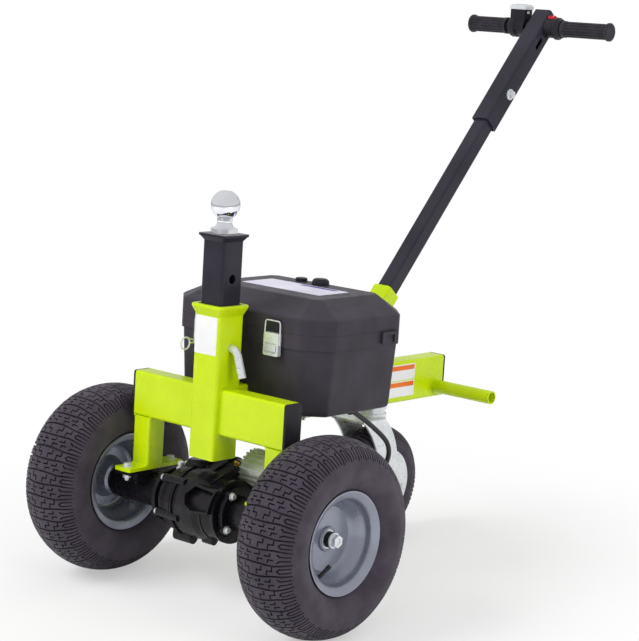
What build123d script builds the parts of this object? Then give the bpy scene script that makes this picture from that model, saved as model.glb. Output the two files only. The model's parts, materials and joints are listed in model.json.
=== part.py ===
from build123d import *
from math import asin, atan2, cos, degrees, radians, sin, sqrt
import os

# Electric trailer dolly: a powered two-wheel axle with a ball post in front,
# a battery box on a central beam, a swivel caster behind and a raked tow handle.
# Millimetres. Everything is drawn in the chassis frame: X across, +Y to the rear
# from the post's axis, +Z up from the level of the tyres' lowest points. The
# chassis parks nose-up by a few degrees, so the last step leans it onto its caster.

# Running gear
tyre_r = 172.0
tyre_width = 127.0
tyre_clearance = 13.0
axle_y = 4.3
axle_z = 172.0
rim_lip_r = 88.7
rim_half_width = 49.5
rim_seat_r = 76.0
rim_seat_x = 34.0
rim_well_r = 64.0
rim_well_half = 16.0
rim_gauge = 2.5
rim_disc_x = 5.5
rim_disc_r = 54.6
rim_boss_r = 30.0
rim_boss_depth = 23.0
rim_recess_r = 17.6
rim_collar = 5.0
hub_bore_r = 13.0
hub_spacer_r = 12.0
hub_nut_x = 25.0
hub_nut_r = 11.0
hub_nut_height = 9.0
hub_reach = 60.0
shaft_r = 12.5
running_gap = 0.05
seat_gap = 0.3
axle_tube_r = 30.0
axle_tube_wall = 5.0

# Transaxle casting
housing_left = -98.0
housing_right = 70.0
housing_r = 58.0
seam_x = -42.0
boss_r = 7.5
boss_angles = (44, 104, 164, 224, -18)
pocket = ((-10, 198), (4, 214), (50, 211), (47, 178), (11, 174), (-5, 182))
pinion_y = 62.0
pinion_z = 222.0
pinion_r = 26.0

# Frame tubes
post_size = 50.0
post_wall = 4.0
post_top = 650.0
post_plate = 63.0
post_plate_thickness = 4.0
post_bottom = 330.0
sleeve_size = 60.0
sleeve_wall = 4.0
sleeve_top = 529.0
sleeve_bottom = 260.0
collar_size = 74.0
collar_lip = 5.0
collar_flare = 14.0
pin_r = 7.0
pin_hole_r = 8.0
pin_z = 455.0
post_hole_pitch = 59.5
beam_height = 80.0
beam_width = 40.0
beam_wall = 3.0
beam_bottom = 305.0
beam_rear = 619.0
cap_thickness = 4.5
cap_plug = 14.0
cross_half = 178.0
leg_size = 40.0
leg_wall = 3.0
plate_length = 135.0
plate_thickness = 6.0
plate_z = 211.0
plate_bolt_pitch = 107.0
step_r = 12.7
step_wall = 2.5
step_reach = 159.0
step_y = 594.0
step_z = 327.0
saddle_foot = 188.0
saddle_half = 46.0
saddle_width = 38.0
flange_half = 12.0
plate_bolt_r = 5.0

# Hitch ball
ball_r = 25.4
ball_height = 49.0
ball_neck_r = 13.5
ball_base_r = 23.5
ball_base_flats = 41.0

# Hitch pin and its clip
arm_lean = 20.0
arm_length = 50.0
arm_bend_r = 18.0
clip_wire_r = 1.5
clip_loop_r = 10.5
clip_reach = 16.0

# Tow handle
pole_rake = 49.25
pole_foot_y = 335.4
socket_size = 40.0
socket_wall = 4.5
socket_length = 178.0
lower_pole_size = 30.0
lower_pole_wall = 2.5
lower_pole_start = 60.0
upper_pole_size = 40.0
upper_pole_wall = 3.0
upper_pole_start = 590.0
upper_pole_end = 875.0
pole_bolt_s = 669.0
bar_s = 844.3
bar_r = 11.0
bar_half = 166.0
grip_r = 15.5
grip_flange_r = 18.0
grip_end = 169.0
left_grip_length = 92.0
right_grip_length = 112.0
grip_ribs = 16
throttle_start = 21.0
throttle_end = 55.0
throttle_r = 22.0
gauge_start = -66.0
gauge_end = -30.0
gauge_r = 21.5
gauge_height = 34.0
gauge_cap_length = 40.0
gauge_cap_width = 32.0
gauge_cap_height = 10.0

# Battery box and lid
box_half = 181.0
box_front = 52.0
box_rear = 310.0
box_corner = 43.0
box_top = 490.2
box_bottom = 347.0
box_taper = 9.0
box_wall = 3.0
edge_round = 11.0
rim_proud = 1.5
rim_band = 26.0
tunnel_clearance = 2.0
lid_bottom = 490.5
lid_shoulder = 515.5
lid_top = 545.0
lid_inset = 56.0
lid_rear_inset = 36.0
plateau_round = 7.0
hinge_r = 2.5
hinge_barrel_r = 5.0
hinge_offset = 7.0
hinge_span = 60.0
hinge_inset = 21.0
ear_width = 8.0
lip_length = 42.0
lip_height = 20.0
latch_x = 83.0
latch_width = 34.0
latch_height = 40.0
latch_depth = 8.0
bail_r = 1.3
bail_top = 508.0
floor_round = 10.0
bracket_ys = (119.5, 225.0)
bracket_x = box_half - 63.0
bracket_width = 32.0
bracket_gauge = 5.0
battery_width = 98.0
battery_length = 151.0
battery_height = 95.0
battery_front = 98.0
knob_x = 2.0
knob_r = 16.0
knob_height = 11.0
low_knob_x = -46.0
low_knob_r = 11.0
low_knob_height = 6.0

# Swivel caster
swivel_y = 430.0
caster_trail = 16.0
caster_drop = 153.3
caster_r = 111.0
caster_width = 66.0
caster_seat_r = 52.0
caster_rim_half = 27.0
caster_rim_gauge = 3.0
fork_gap = 72.0
fork_gauge = 4.0
head_r = 30.0
head_height = 21.0
kingpin_r = 8.0
kingpin_drop = 20.0
crown_r = 27.0
leg_front = 68.0
leg_back = 3.0
caster_axle_r = 6.0
caster_hub_r = 16.0

# Motor
motor_y = 78.0
motor_z = 232.0
motor_r = 38.0
motor_left = 26.0
motor_cover_length = 23.0
motor_clearance = 3.0
motor_fins = 24

# Places that follow from the sizes
beam_top = beam_bottom + beam_height
wheel_x = cross_half + cap_thickness + tyre_clearance + tyre_width / 2
axle_tube_end = wheel_x - rim_boss_depth - 8
motor_right = cross_half - leg_size - motor_cover_length - motor_clearance
caster_y = swivel_y + caster_trail
caster_z = beam_bottom - caster_drop
hinge_x = box_half - box_corner - hinge_span / 2 - hinge_inset

# The nose-up lean at which the tyres and the caster stand on one floor.
axle_span = sqrt((caster_y - axle_y) ** 2 + (axle_z - caster_z) ** 2)
lean = asin((tyre_r - caster_r) / axle_span) - atan2(axle_z - caster_z, caster_y - axle_y)
ball_z = post_top + ball_height
pole_tilt = 90.0 - pole_rake
pole = Pos(0, pole_foot_y, beam_top) * Rot(-pole_tilt, 0, 0)

parts = {}


def square_tube(across, deep, length, wall, corner):
    """A rectangular hollow section standing on the XY plane."""
    outer = RectangleRounded(across, deep, corner)
    inner = RectangleRounded(across - 2 * wall, deep - 2 * wall, corner - wall + 1.5)
    return extrude(outer - inner, length)


def rod(radius, length, x=0.0, y=0.0, z=0.0):
    """A round bar along X, starting at x."""
    return Pos(x, y, z) * Rot(0, 90, 0) * extrude(Circle(radius), length)


def ring(outer, inner, length, x=0.0, y=0.0, z=0.0):
    """A round tube along X, starting at x."""
    return Pos(x, y, z) * Rot(0, 90, 0) * extrude(Circle(outer) - Circle(inner), length)


def block(x0, x1, y0, y1, z0, z1):
    """A rectangular block between two corners."""
    size = Box(x1 - x0, y1 - y0, z1 - z0)
    return Pos((x0 + x1) / 2, (y0 + y1) / 2, (z0 + z1) / 2) * size


def turned(points):
    """A solid turned about the X axis from a closed outline of (x, radius)."""
    outline = make_face(Polyline(*points, close=True))
    return revolve(outline, Axis.X)


def mirrored(part):
    """The same piece on the left side."""
    return mirror(part, Plane.YZ)


def frame_parts():
    sleeve = Pos(0, 0, sleeve_bottom) * square_tube(
        sleeve_size, sleeve_size, sleeve_top - sleeve_bottom, sleeve_wall, 6)
    inside = sleeve_size - 2 * sleeve_wall
    lip_foot = sleeve_top - collar_lip
    flare = loft([
        Pos(0, 0, lip_foot - collar_flare) * RectangleRounded(sleeve_size, sleeve_size, 6),
        Pos(0, 0, lip_foot) * RectangleRounded(collar_size, collar_size, 9)])
    collar = Pos(0, 0, lip_foot) * extrude(RectangleRounded(collar_size, collar_size, 9), collar_lip)
    collar = fillet(collar.edges().group_by(Axis.Z)[-1], collar_lip / 2)
    mouth = Pos(0, 0, sleeve_bottom) * extrude(
        RectangleRounded(inside, inside, 3.5), sleeve_top - sleeve_bottom)
    mouth += loft([
        Pos(0, 0, lip_foot) * RectangleRounded(inside, inside, 3.5),
        Pos(0, 0, sleeve_top) * RectangleRounded(inside + 6, inside + 6, 5)])
    sleeve = sleeve + flare + collar - mouth
    sleeve -= rod(pin_r + seat_gap, 2 * sleeve_size, -sleeve_size, 0, pin_z)
    parts["receiver_sleeve"] = sleeve

    arm_start = sleeve_size / 2
    arm = Pos(arm_start, 0, beam_bottom + beam_height / 2) * Rot(0, 90, 0) * square_tube(
        beam_height, beam_width, cross_half - arm_start, beam_wall, 5)
    parts["cross_tube"] = Part() + [arm, mirrored(arm)]

    cap = Pos(cross_half, 0, beam_bottom + beam_height / 2) * Rot(0, 90, 0) * extrude(
        RectangleRounded(beam_height, beam_width, 5), cap_thickness)
    plug = Pos(cross_half - cap_plug, 0, beam_bottom + beam_height / 2) * Rot(0, 90, 0) * extrude(
        RectangleRounded(beam_height - 2 * beam_wall - 1, beam_width - 2 * beam_wall - 1, 3), cap_plug)
    cap = cap + plug
    parts["cross_tube_caps"] = Part() + [cap, mirrored(cap)]

    leg_x = cross_half - leg_size / 2
    leg_foot = plate_z + plate_thickness
    leg = Pos(leg_x, 0, leg_foot) * square_tube(
        leg_size, leg_size, beam_bottom - leg_foot, leg_wall, 5)
    parts["frame_legs"] = Part() + [leg, mirrored(leg)]

    foot = Pos(leg_x, axle_y, plate_z) * extrude(
        RectangleRounded(leg_size, plate_length, 5), plate_thickness)
    bolts = Part()
    for side in (-1, 1):
        bolts += Pos(leg_x, axle_y + side * plate_bolt_pitch / 2, plate_z) * Cylinder(
            plate_bolt_r, 3 * plate_thickness)
    foot -= bolts
    parts["foot_plates"] = Part() + [foot, mirrored(foot)]

    x0 = leg_x - saddle_width / 2
    x1 = leg_x + saddle_width / 2
    saddle = block(x0, x1, axle_y - saddle_half, axle_y + saddle_half, saddle_foot, plate_z)
    saddle -= rod(axle_tube_r, 2 * saddle_width, x0 - saddle_width / 2, axle_y, axle_z)
    for side in (-1, 1):
        flange = block(x0, x1, -flange_half, flange_half, plate_z - plate_thickness, plate_z)
        saddle += Pos(0, axle_y + side * plate_bolt_pitch / 2, 0) * flange
    saddle -= bolts
    parts["axle_saddles"] = Part() + [saddle, mirrored(saddle)]

    beam_start = sleeve_size / 2
    beam = Pos(0, beam_start, beam_bottom + beam_height / 2) * Rot(-90, 0, 0) * square_tube(
        beam_width, beam_height, beam_rear - beam_start, beam_wall, 5)
    parts["main_beam"] = beam
    end = Pos(0, beam_rear, beam_bottom + beam_height / 2) * Rot(-90, 0, 0) * extrude(
        RectangleRounded(beam_width, beam_height, 5), cap_thickness)
    end += Pos(0, beam_rear - cap_plug, beam_bottom + beam_height / 2) * Rot(-90, 0, 0) * extrude(
        RectangleRounded(beam_width - 2 * beam_wall - 1, beam_height - 2 * beam_wall - 1, 3), cap_plug)
    parts["beam_end_cap"] = end

    step = ring(step_r, step_r - step_wall, step_reach - beam_width / 2, beam_width / 2, step_y, step_z)
    parts["step_tubes"] = Part() + [step, mirrored(step)]

    bracket = Part()
    bracket_top = box_bottom - seat_gap
    for y in bracket_ys:
        arm = block(beam_width / 2, bracket_x, y - bracket_width / 2, y + bracket_width / 2,
                    bracket_top - bracket_gauge, bracket_top)
        arm += block(beam_width / 2, beam_width / 2 + 26, y - bracket_gauge / 2, y + bracket_gauge / 2,
                     bracket_top - bracket_gauge - 14, bracket_top - bracket_gauge)
        bracket += arm
    parts["box_brackets"] = Part() + [bracket, mirrored(bracket)]


def hitch_parts():
    plate_foot = post_top - post_plate_thickness
    post = Pos(0, 0, post_bottom) * square_tube(
        post_size, post_size, plate_foot - post_bottom, post_wall, 5)
    holes = [pin_z + post_hole_pitch * k for k in range(-1, 3)]
    for z in holes:
        post -= rod(pin_hole_r, 2 * post_size, -post_size, 0, z)
    plate = loft([
        Pos(0, 0, plate_foot - 8) * RectangleRounded(post_size, post_size, 5),
        Pos(0, 0, plate_foot) * RectangleRounded(post_plate - 2, post_plate - 2, 4)])
    hollow = Pos(0, 0, post_bottom) * extrude(
        RectangleRounded(post_size - 2 * post_wall, post_size - 2 * post_wall, 2.5),
        plate_foot - 2 - post_bottom)
    plate -= hollow
    plate += Pos(0, 0, plate_foot) * extrude(
        RectangleRounded(post_plate, post_plate, 4), post_plate_thickness)
    parts["ball_post"] = post + plate

    # The ball, its waisted neck and its round foot with two wrench flats are one forging.
    waist = ThreePointArc((ball_base_r - 4, 10), (ball_neck_r + 1, 14), (ball_neck_r, 22))
    outline = make_face([
        Polyline((0, 0), (ball_base_r, 0), (ball_base_r, 8.5), (ball_base_r - 4, 10)), waist,
        Polyline((ball_neck_r, 22), (ball_neck_r, ball_height), (0, ball_height), (0, 0))])
    foot = Pos(0, 0, post_top) * revolve(Plane.XZ * outline, Axis.Z)
    flats = Pos(0, 0, post_top + 5) * Box(ball_base_flats, 3 * ball_base_r, 10.5)
    foot &= flats + Pos(0, 0, post_top + 30) * Cylinder(ball_base_r + 5, 39.5)
    ball = Pos(0, 0, ball_z) * Sphere(ball_r)
    ball = split(ball, Plane.XY.offset(ball_z + ball_r - 1.5), keep=Keep.BOTTOM)
    parts["hitch_ball"] = foot + ball

    bend_x = sleeve_size / 2 + 14
    pin_start = -sleeve_size / 2 - 22
    arm_end = (bend_x + arm_length * sin(radians(arm_lean)), pin_z - arm_length * cos(radians(arm_lean)))
    path = Plane.XZ * FilletPolyline((pin_start, pin_z), (bend_x, pin_z), arm_end, radius=arm_bend_r)
    shank = sweep(Plane(path @ 0, z_dir=path % 0) * Circle(pin_r), path=path)
    clip_x = pin_start + 6
    shank -= Pos(clip_x, 0, pin_z) * Rot(90, 0, 0) * Cylinder(2.0, 40)
    parts["hitch_pin"] = shank

    # An R-clip: its straight leg goes through the pin, its loop stands off in front.
    loop_y = -(pin_r + clip_reach + clip_loop_r)
    clip = Pos(clip_x, loop_y, pin_z) * Rot(0, 90, 0) * Torus(clip_loop_r, clip_wire_r)
    clip += Pos(clip_x, loop_y + clip_loop_r - clip_wire_r / 2, pin_z) * Rot(-90, 0, 0) * extrude(
        Circle(clip_wire_r), 2 * pin_r + clip_reach + 6)
    parts["pin_clip"] = clip


def transaxle_parts():
    r = housing_r
    left = housing_left
    right = housing_right
    seam = seam_x
    body = turned([
        (left, 0), (left, 50), (left + 8, 50), (left + 8, 42), (left + 13, 42), (left + 13, 46),
        (left + 21, 46), (left + 24, r - 6), (left + 29, r - 1), (seam - 15, r + 1), (seam - 3, r + 2),
        (seam - 3, r + 5), (seam - 0.6, r + 5), (seam - 0.6, r + 2), (seam + 0.6, r + 2),
        (seam + 0.6, r + 5), (seam + 4, r + 5), (seam + 4, r + 2), (seam + 14, r + 4), (-10, r + 4),
        (motor_left - 16, r + 2), (motor_left - 2, r - 3), (right - 26, r - 7), (right - 24, r - 9),
        (right - 21, r - 9), (right - 21, r - 2), (right - 13, r - 2), (right - 12, 43), (right - 9, 43),
        (right - 9, 46), (right, 46), (right, 0)])
    for angle in (0, 90, 180, 270):
        ear_y = 41 * cos(radians(angle + 35))
        ear_z = 41 * sin(radians(angle + 35))
        body += rod(8.5, 13, right - 13, ear_y, ear_z)
        body += rod(8.5, 8, left, 1.12 * ear_y, 1.12 * ear_z)
    body = Pos(0, axle_y, axle_z) * body

    # The pinion case climbs from the axle to the motor's shaft.
    def climb(grow):
        axle_circle = Pos(axle_y, axle_z) * Circle(r - 2 + grow)
        pinion_circle = Pos(pinion_y, pinion_z) * Circle(pinion_r + grow)
        return make_hull(axle_circle.edges() + pinion_circle.edges())

    body += extrude(Plane.YZ.offset(seam + 8) * climb(0), motor_left - seam - 8)
    body += extrude(Plane.YZ.offset(seam + 8) * climb(3), 6)
    body += extrude(Plane.YZ.offset(-6) * climb(2.5), 5)

    # Bolt bosses cross the seam, and two lugs hang under the case.
    for angle in boss_angles:
        a = radians(angle)
        body += rod(boss_r, 52, left + 24, axle_y - (r + 1) * cos(a), axle_z + (r + 1) * sin(a))
    for start, length, angle, size, reach in ((-60, 42, -71, 10.0, 10.0), (2, 24, -76, 8.0, 4.0)):
        a = radians(angle)
        near = Pos(axle_y - (r - 12) * cos(a), axle_z + (r - 12) * sin(a)) * Circle(size + 4)
        far = Pos(axle_y - (r + reach - 4) * cos(a), axle_z + (r + reach - 4) * sin(a)) * Circle(size)
        body += extrude(Plane.YZ.offset(start) * make_hull(near.edges() + far.edges()), length)
    dome = Pos(left + 48, axle_y + 18, axle_z + 30) * extrude(Circle(22), 42)
    body += fillet(dome.edges().group_by(Axis.Z)[-1], 9)

    # A sunk triangular pocket with a raised rim lightens the front wall.
    def towards_front(face, near_y, far_y):
        return extrude(Plane.XZ.offset(-near_y) * face, near_y - far_y)

    panel = make_face(Polyline(*pocket, close=True))
    front = axle_y - r - 10
    raised = towards_front(offset(panel, 3.5, kind=Kind.INTERSECTION), axle_y - 20, front)
    body += raised & rod(r + 4.5, 120, -40, axle_y, axle_z)
    body -= towards_front(panel, axle_y - 20, front) - rod(r - 8, 120, -40, axle_y, axle_z)
    body -= rod(axle_tube_r - axle_tube_wall, 400, -200, axle_y, axle_z)
    parts["transaxle_housing"] = body

    tube_end = 20.0
    tubes = Part()
    for start, flip in ((right, False), (-left, True)):
        length = axle_tube_end - start
        tube = ring(axle_tube_r, axle_tube_r - axle_tube_wall, length - tube_end, start, axle_y, axle_z)
        tube += ring(axle_tube_r, shaft_r + running_gap, tube_end, axle_tube_end - tube_end, axle_y, axle_z)
        tubes = Part() + [*tubes.solids(), mirrored(tube) if flip else tube]
    parts["axle_tubes"] = tubes

    can = ring(motor_r - 4, 6, motor_right - motor_left - 1, motor_left, motor_y, motor_z)
    for k in range(motor_fins):
        fin = block(motor_left, motor_right - 1, -1.2, 1.2, motor_r - 6, motor_r)
        can += Pos(0, motor_y, motor_z) * Rot(k * 360 / motor_fins, 0, 0) * fin
    parts["motor_can"] = can
    end = motor_right + motor_cover_length
    cover = Pos(0, motor_y, motor_z) * turned([
        (motor_right - 1, 0), (motor_right - 1, motor_r), (end - 14, motor_r),
        (end - 8, motor_r - 5), (end - 8, 0.55 * motor_r), (end, 0.55 * motor_r - 2), (end, 0)])
    entry = Vector(*cord_points[-1])
    cover += Pos(entry.X, motor_y + motor_r - 8, entry.Z) * Rot(-90, 0, 0) * extrude(
        Circle(6.5), entry.Y - motor_y - motor_r + 8)
    parts["motor_cover"] = cover


def handle_parts():
    overrun = 40.0
    socket = pole * Pos(0, 0, -overrun) * square_tube(
        socket_size, socket_size, socket_length + overrun, socket_wall, 6)
    below = block(-40, 40, pole_foot_y - 120, pole_foot_y + 120, beam_top - 90, beam_top)
    parts["handle_socket"] = socket - below

    lower = pole * Pos(0, 0, lower_pole_start) * square_tube(
        lower_pole_size, lower_pole_size, upper_pole_start + 130 - lower_pole_start,
        lower_pole_wall, 4)
    bolt_hole = pole * Pos(-60, 0, pole_bolt_s) * Rot(0, 90, 0) * extrude(Circle(4.3), 120)
    parts["pole_lower"] = lower - bolt_hole

    upper = pole * Pos(0, 0, upper_pole_start) * square_tube(
        upper_pole_size, upper_pole_size, upper_pole_end - upper_pole_start - 3,
        upper_pole_wall, 5)
    lid = pole * Pos(0, 0, upper_pole_end - 3) * extrude(
        RectangleRounded(upper_pole_size, upper_pole_size, 5), 3)
    bar_hole = pole * Pos(-60, 0, bar_s) * Rot(0, 90, 0) * extrude(Circle(bar_r), 120)
    slot = pole * Pos(upper_pole_size / 2, 0, bar_s - 42) * Rot(0, 90, 0) * extrude(
        SlotOverall(28, 9), 8, both=True)
    parts["pole_upper"] = upper + lid - bolt_hole - bar_hole - slot

    bolt = pole * Pos(-26, 0, pole_bolt_s) * Rot(0, 90, 0) * extrude(Circle(4), 56)
    head = pole * Pos(-26, 0, pole_bolt_s) * Rot(0, 90, 0) * extrude(RegularPolygon(7, 6), 6 - seat_gap)
    nut = pole * Pos(22.3, 0, pole_bolt_s) * Rot(0, 90, 0) * extrude(RegularPolygon(7.5, 6), 7)
    washer = pole * Pos(20 + seat_gap, 0, pole_bolt_s) * Rot(0, 90, 0) * extrude(Circle(11), 2)
    parts["pole_bolt"] = bolt + head + nut + washer

    bar = pole * Pos(-bar_half, 0, bar_s) * Rot(0, 90, 0) * extrude(
        Circle(bar_r) - Circle(bar_r - 2), 2 * bar_half)
    parts["handlebar"] = bar

    turn = pole * Pos(0, 0, bar_s)

    def grip(length):
        """A rubber grip with ribs along it, a collar at its root and a flange at its end."""
        bore = bar_r + 0.1
        start = grip_end - length
        core = grip_r - 1.2
        body = turned([
            (start, bore), (start, grip_r + 1), (start + 7, grip_r + 1), (start + 9, core),
            (grip_end - 9, core), (grip_end - 6, grip_flange_r), (grip_end - 2, grip_flange_r),
            (grip_end, grip_flange_r - 3), (grip_end, 0), (bar_half + 0.2, 0), (bar_half + 0.2, bore)])
        for k in range(grip_ribs):
            rib = block(start + 8, grip_end - 7, -1.5, 1.5, core - 1, grip_r)
            body += Rot(k * 360 / grip_ribs, 0, 0) * rib
        return body

    parts["grip_right"] = turn * grip(right_grip_length)
    parts["grip_left"] = turn * mirrored(grip(left_grip_length))

    bore = bar_r + 0.1
    upright = Rot(pole_tilt, 0, 0)
    t0 = throttle_start
    t1 = throttle_end
    throttle = turned([
        (t0, bore), (t0, throttle_r - 3), (t0 + 17, throttle_r - 3), (t0 + 21, throttle_r),
        (t0 + 26, throttle_r), (t0 + 29, throttle_r - 2.5), (t1, throttle_r - 4), (t1, bore)])
    seat = block(t0 + 1, t0 + 19, -11, 11, 0, throttle_r - 3)
    seat -= rod(bore, 40, t0 - 10)
    throttle += upright * fillet(seat.edges().filter_by(Axis.X).group_by(Axis.Z)[-1], 3)
    parts["throttle_housing"] = turn * throttle

    rocker_z = throttle_r - 3 + seat_gap
    rocker = block(t0 + 3, t0 + 16, -8, 8, rocker_z, rocker_z + 3.7)
    rocker += Pos(t0 + 9.5, -3.5, rocker_z + 3.7) * Rot(12, 0, 0) * Box(13, 9, 3.2)
    parts["rocker_switch"] = turn * upright * rocker

    g0 = gauge_start
    g1 = gauge_end
    gauge = turned([
        (g0, bore), (g0, gauge_r - 1.5), (g0 + 4, gauge_r), (g0 + 14, gauge_r), (g0 + 18, gauge_r - 3.5),
        (g1, gauge_r - 4.5), (g1, bore)])
    case = block(g0, g1, -14, 14, 4, gauge_height)
    case = fillet(case.edges().filter_by(Axis.Z), 3)
    gauge += upright * case - rod(bore, 60, g0 - 4)
    parts["gauge_body"] = turn * gauge
    plan = RectangleRounded(gauge_cap_length, gauge_cap_width, 4)
    top = RectangleRounded(gauge_cap_length - 7, gauge_cap_width - 7, 3)
    cap = loft([plan, Pos(0, 0, gauge_cap_height - 4) * plan])
    cap += loft([Pos(0, 0, gauge_cap_height - 4) * plan, Pos(0, 0, gauge_cap_height) * top])
    cap = Pos((g0 + g1) / 2, 0, gauge_height) * cap
    parts["gauge_cap"] = turn * upright * cap


def octagon(inset=0.0, rounding=edge_round, rear_inset=None):
    """The box's plan: a rectangle with its corners cut at 45 degrees and rounded, moved in by inset."""
    h = box_half - inset
    f = box_front + inset
    r = box_rear - (inset if rear_inset is None else rear_inset)
    c = box_corner - inset * 0.586
    plan = make_face(Polyline(
        (-h + c, f), (h - c, f), (h, f + c), (h, r - c),
        (h - c, r), (-h + c, r), (-h, r - c), (-h, f + c), close=True))
    return fillet(plan.vertices(), rounding)


def box_parts():
    def hull(inset, floor, top):
        low = box_taper * (box_top - floor) / (box_top - box_bottom)
        return loft([Pos(0, 0, floor) * octagon(low + inset), Pos(0, 0, top) * octagon(inset)])

    shell = hull(0, box_bottom, box_top)
    shell = fillet(shell.faces().sort_by(Axis.Z)[0].edges(), floor_round)
    shell += Pos(0, 0, box_top - rim_band) * extrude(octagon(-rim_proud), rim_band)
    tunnel = beam_width / 2 + tunnel_clearance
    roof = beam_top + tunnel_clearance
    cavity = hull(box_wall, box_bottom + box_wall, box_top)
    cavity = fillet(cavity.faces().sort_by(Axis.Z)[0].edges(), floor_round - box_wall)
    cavity -= block(-tunnel - box_wall, tunnel + box_wall, 0, 400, box_bottom - 1, roof + box_wall)
    shell -= cavity
    shell -= block(-tunnel, tunnel, 0, 400, box_bottom - 1, roof)
    lip_end = box_rear - box_corner - 9
    lip_out = box_half + rim_proud + 6
    lip = block(box_half - 4, lip_out, lip_end - lip_length, lip_end, box_top - lip_height - 1, box_top - 1)
    lip -= block(box_half + rim_proud + 2, lip_out + 1, lip_end - lip_length + 9, lip_end - 9,
                 box_top - lip_height - 2, box_top - 7)
    shell += lip + mirrored(lip)
    ear_x = hinge_span / 2 + 0.5
    hinge_y = box_rear + hinge_offset
    hinge_z = lid_bottom
    for centre in (-hinge_x, hinge_x):
        for start in (centre - ear_x - ear_width, centre + ear_x):
            ear = rod(hinge_barrel_r, ear_width, start, hinge_y, hinge_z)
            ear += block(start, start + ear_width, box_rear - 5, hinge_y,
                         hinge_z - hinge_barrel_r, hinge_z - 0.5)
            shell += ear
            shell -= rod(hinge_r + 0.02, ear_width + 4, start - 2, hinge_y, hinge_z)
    parts["battery_box"] = shell

    pins = Part()
    for centre in (-hinge_x, hinge_x):
        pins += rod(hinge_r, 2 * (ear_x + ear_width), centre - ear_x - ear_width, hinge_y, hinge_z)
    parts["hinge_pins"] = pins

    floor = box_bottom + box_wall
    battery_x = tunnel + box_wall + 3
    battery_rear = battery_front + battery_length
    battery = block(battery_x, battery_x + battery_width, battery_front, battery_rear,
                    floor, floor + battery_height)
    battery = fillet(battery.edges().filter_by(Axis.Z), 4)
    for y in (battery_front + 18, battery_rear - 18):
        battery += Pos(battery_x + 20, y, floor + battery_height) * extrude(Circle(6), 5)
    parts["batteries"] = Part() + [battery, mirrored(battery)]

    # The lid's outside: a skirt, a rolled shoulder, a long slope and a rolled edge to its plateau.
    slope = [
        (lid_bottom, -rim_proud), (lid_shoulder, -rim_proud), (lid_shoulder + 2.5, 1.5),
        (lid_top - 3, 0.86 * lid_inset), (lid_top - 0.8, 0.94 * lid_inset), (lid_top, lid_inset)]
    rear_share = lid_rear_inset / lid_inset
    turn_over = lid_shoulder + 3

    def section(z, inset, wall):
        rounding = edge_round if z < turn_over else plateau_round
        inset += wall
        rear = inset if inset < 5 else inset * rear_share
        return Pos(0, 0, z) * octagon(inset, rounding, rear)

    lid = Part()
    for (z0, inset0), (z1, inset1) in zip(slope, slope[1:]):
        lid += loft([section(z0, inset0, 0), section(z1, inset1, 0)], ruled=True)
    inner = Pos(0, 0, lid_bottom) * extrude(octagon(box_wall), lid_shoulder - box_wall / 2 - lid_bottom)
    inner += loft([
        Pos(0, 0, lid_shoulder - box_wall / 2) * octagon(box_wall),
        section(lid_top - box_wall, lid_inset, box_wall / 2)], ruled=True)
    lid -= inner
    for centre in (-hinge_x, hinge_x):
        knuckle = rod(hinge_barrel_r, hinge_span, centre - hinge_span / 2, hinge_y, hinge_z)
        knuckle += block(centre - hinge_span / 2, centre + hinge_span / 2, box_rear - 2, hinge_y,
                         hinge_z + 0.5, hinge_z + hinge_barrel_r)
        lid += knuckle
        lid -= rod(hinge_r + running_gap, hinge_span + 2, centre - hinge_span / 2 - 1, hinge_y, hinge_z)
    face_y = box_front - rim_proud
    for side in (-1, 1):
        catch_x = side * latch_x
        catch = block(catch_x - 13, catch_x + 13, face_y - 2.2, face_y + 2, lid_bottom + 4, lid_bottom + 20)
        lid += fillet(catch.edges().filter_by(Axis.Y), 2)
    parts["box_lid"] = lid

    knob_y = box_rear - lid_rear_inset - 16
    dome = Pos(knob_x, knob_y, lid_top + seat_gap) * extrude(Circle(knob_r), knob_height)
    dome = fillet(dome.edges().group_by(Axis.Z)[-1], 8)
    low = Pos(low_knob_x, knob_y + 2, lid_top + seat_gap) * extrude(Circle(low_knob_r), low_knob_height)
    low = fillet(low.edges().group_by(Axis.Z)[-1], 2)
    parts["lid_knobs"] = Part() + [dome, low]

    # A draw latch: a pressed plate on the box and a wire bail that reaches over the lid's catch.
    half = latch_width / 2
    back = face_y - seat_gap
    bail_y = face_y - 5
    plate_top = box_top - 3
    plate = block(latch_x - half, latch_x + half, back - latch_depth, back,
                  plate_top - latch_height, plate_top)
    plate = fillet(plate.edges().filter_by(Axis.Y), 3)
    plate -= block(latch_x - half + 4, latch_x + half - 4, back - latch_depth - 1, back - latch_depth + 1.5,
                   plate_top - latch_height + 5, plate_top - 18)
    bail_x = half + bail_r
    bail_foot = plate_top - latch_height / 2
    path = Plane.XZ.offset(-bail_y) * FilletPolyline(
        (latch_x - bail_x, bail_foot), (latch_x - bail_x + 1.5, bail_top),
        (latch_x + bail_x - 1.5, bail_top), (latch_x + bail_x, bail_foot), radius=5)
    bail = sweep(Plane(path @ 0, z_dir=path % 0) * Circle(bail_r), path=path)
    for end in (latch_x - bail_x, latch_x + half - 1):
        bail += rod(bail_r, bail_r + 1, end, bail_y, bail_foot)
    latch = plate + bail
    parts["latches"] = Part() + [latch, mirrored(latch)]


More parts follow.
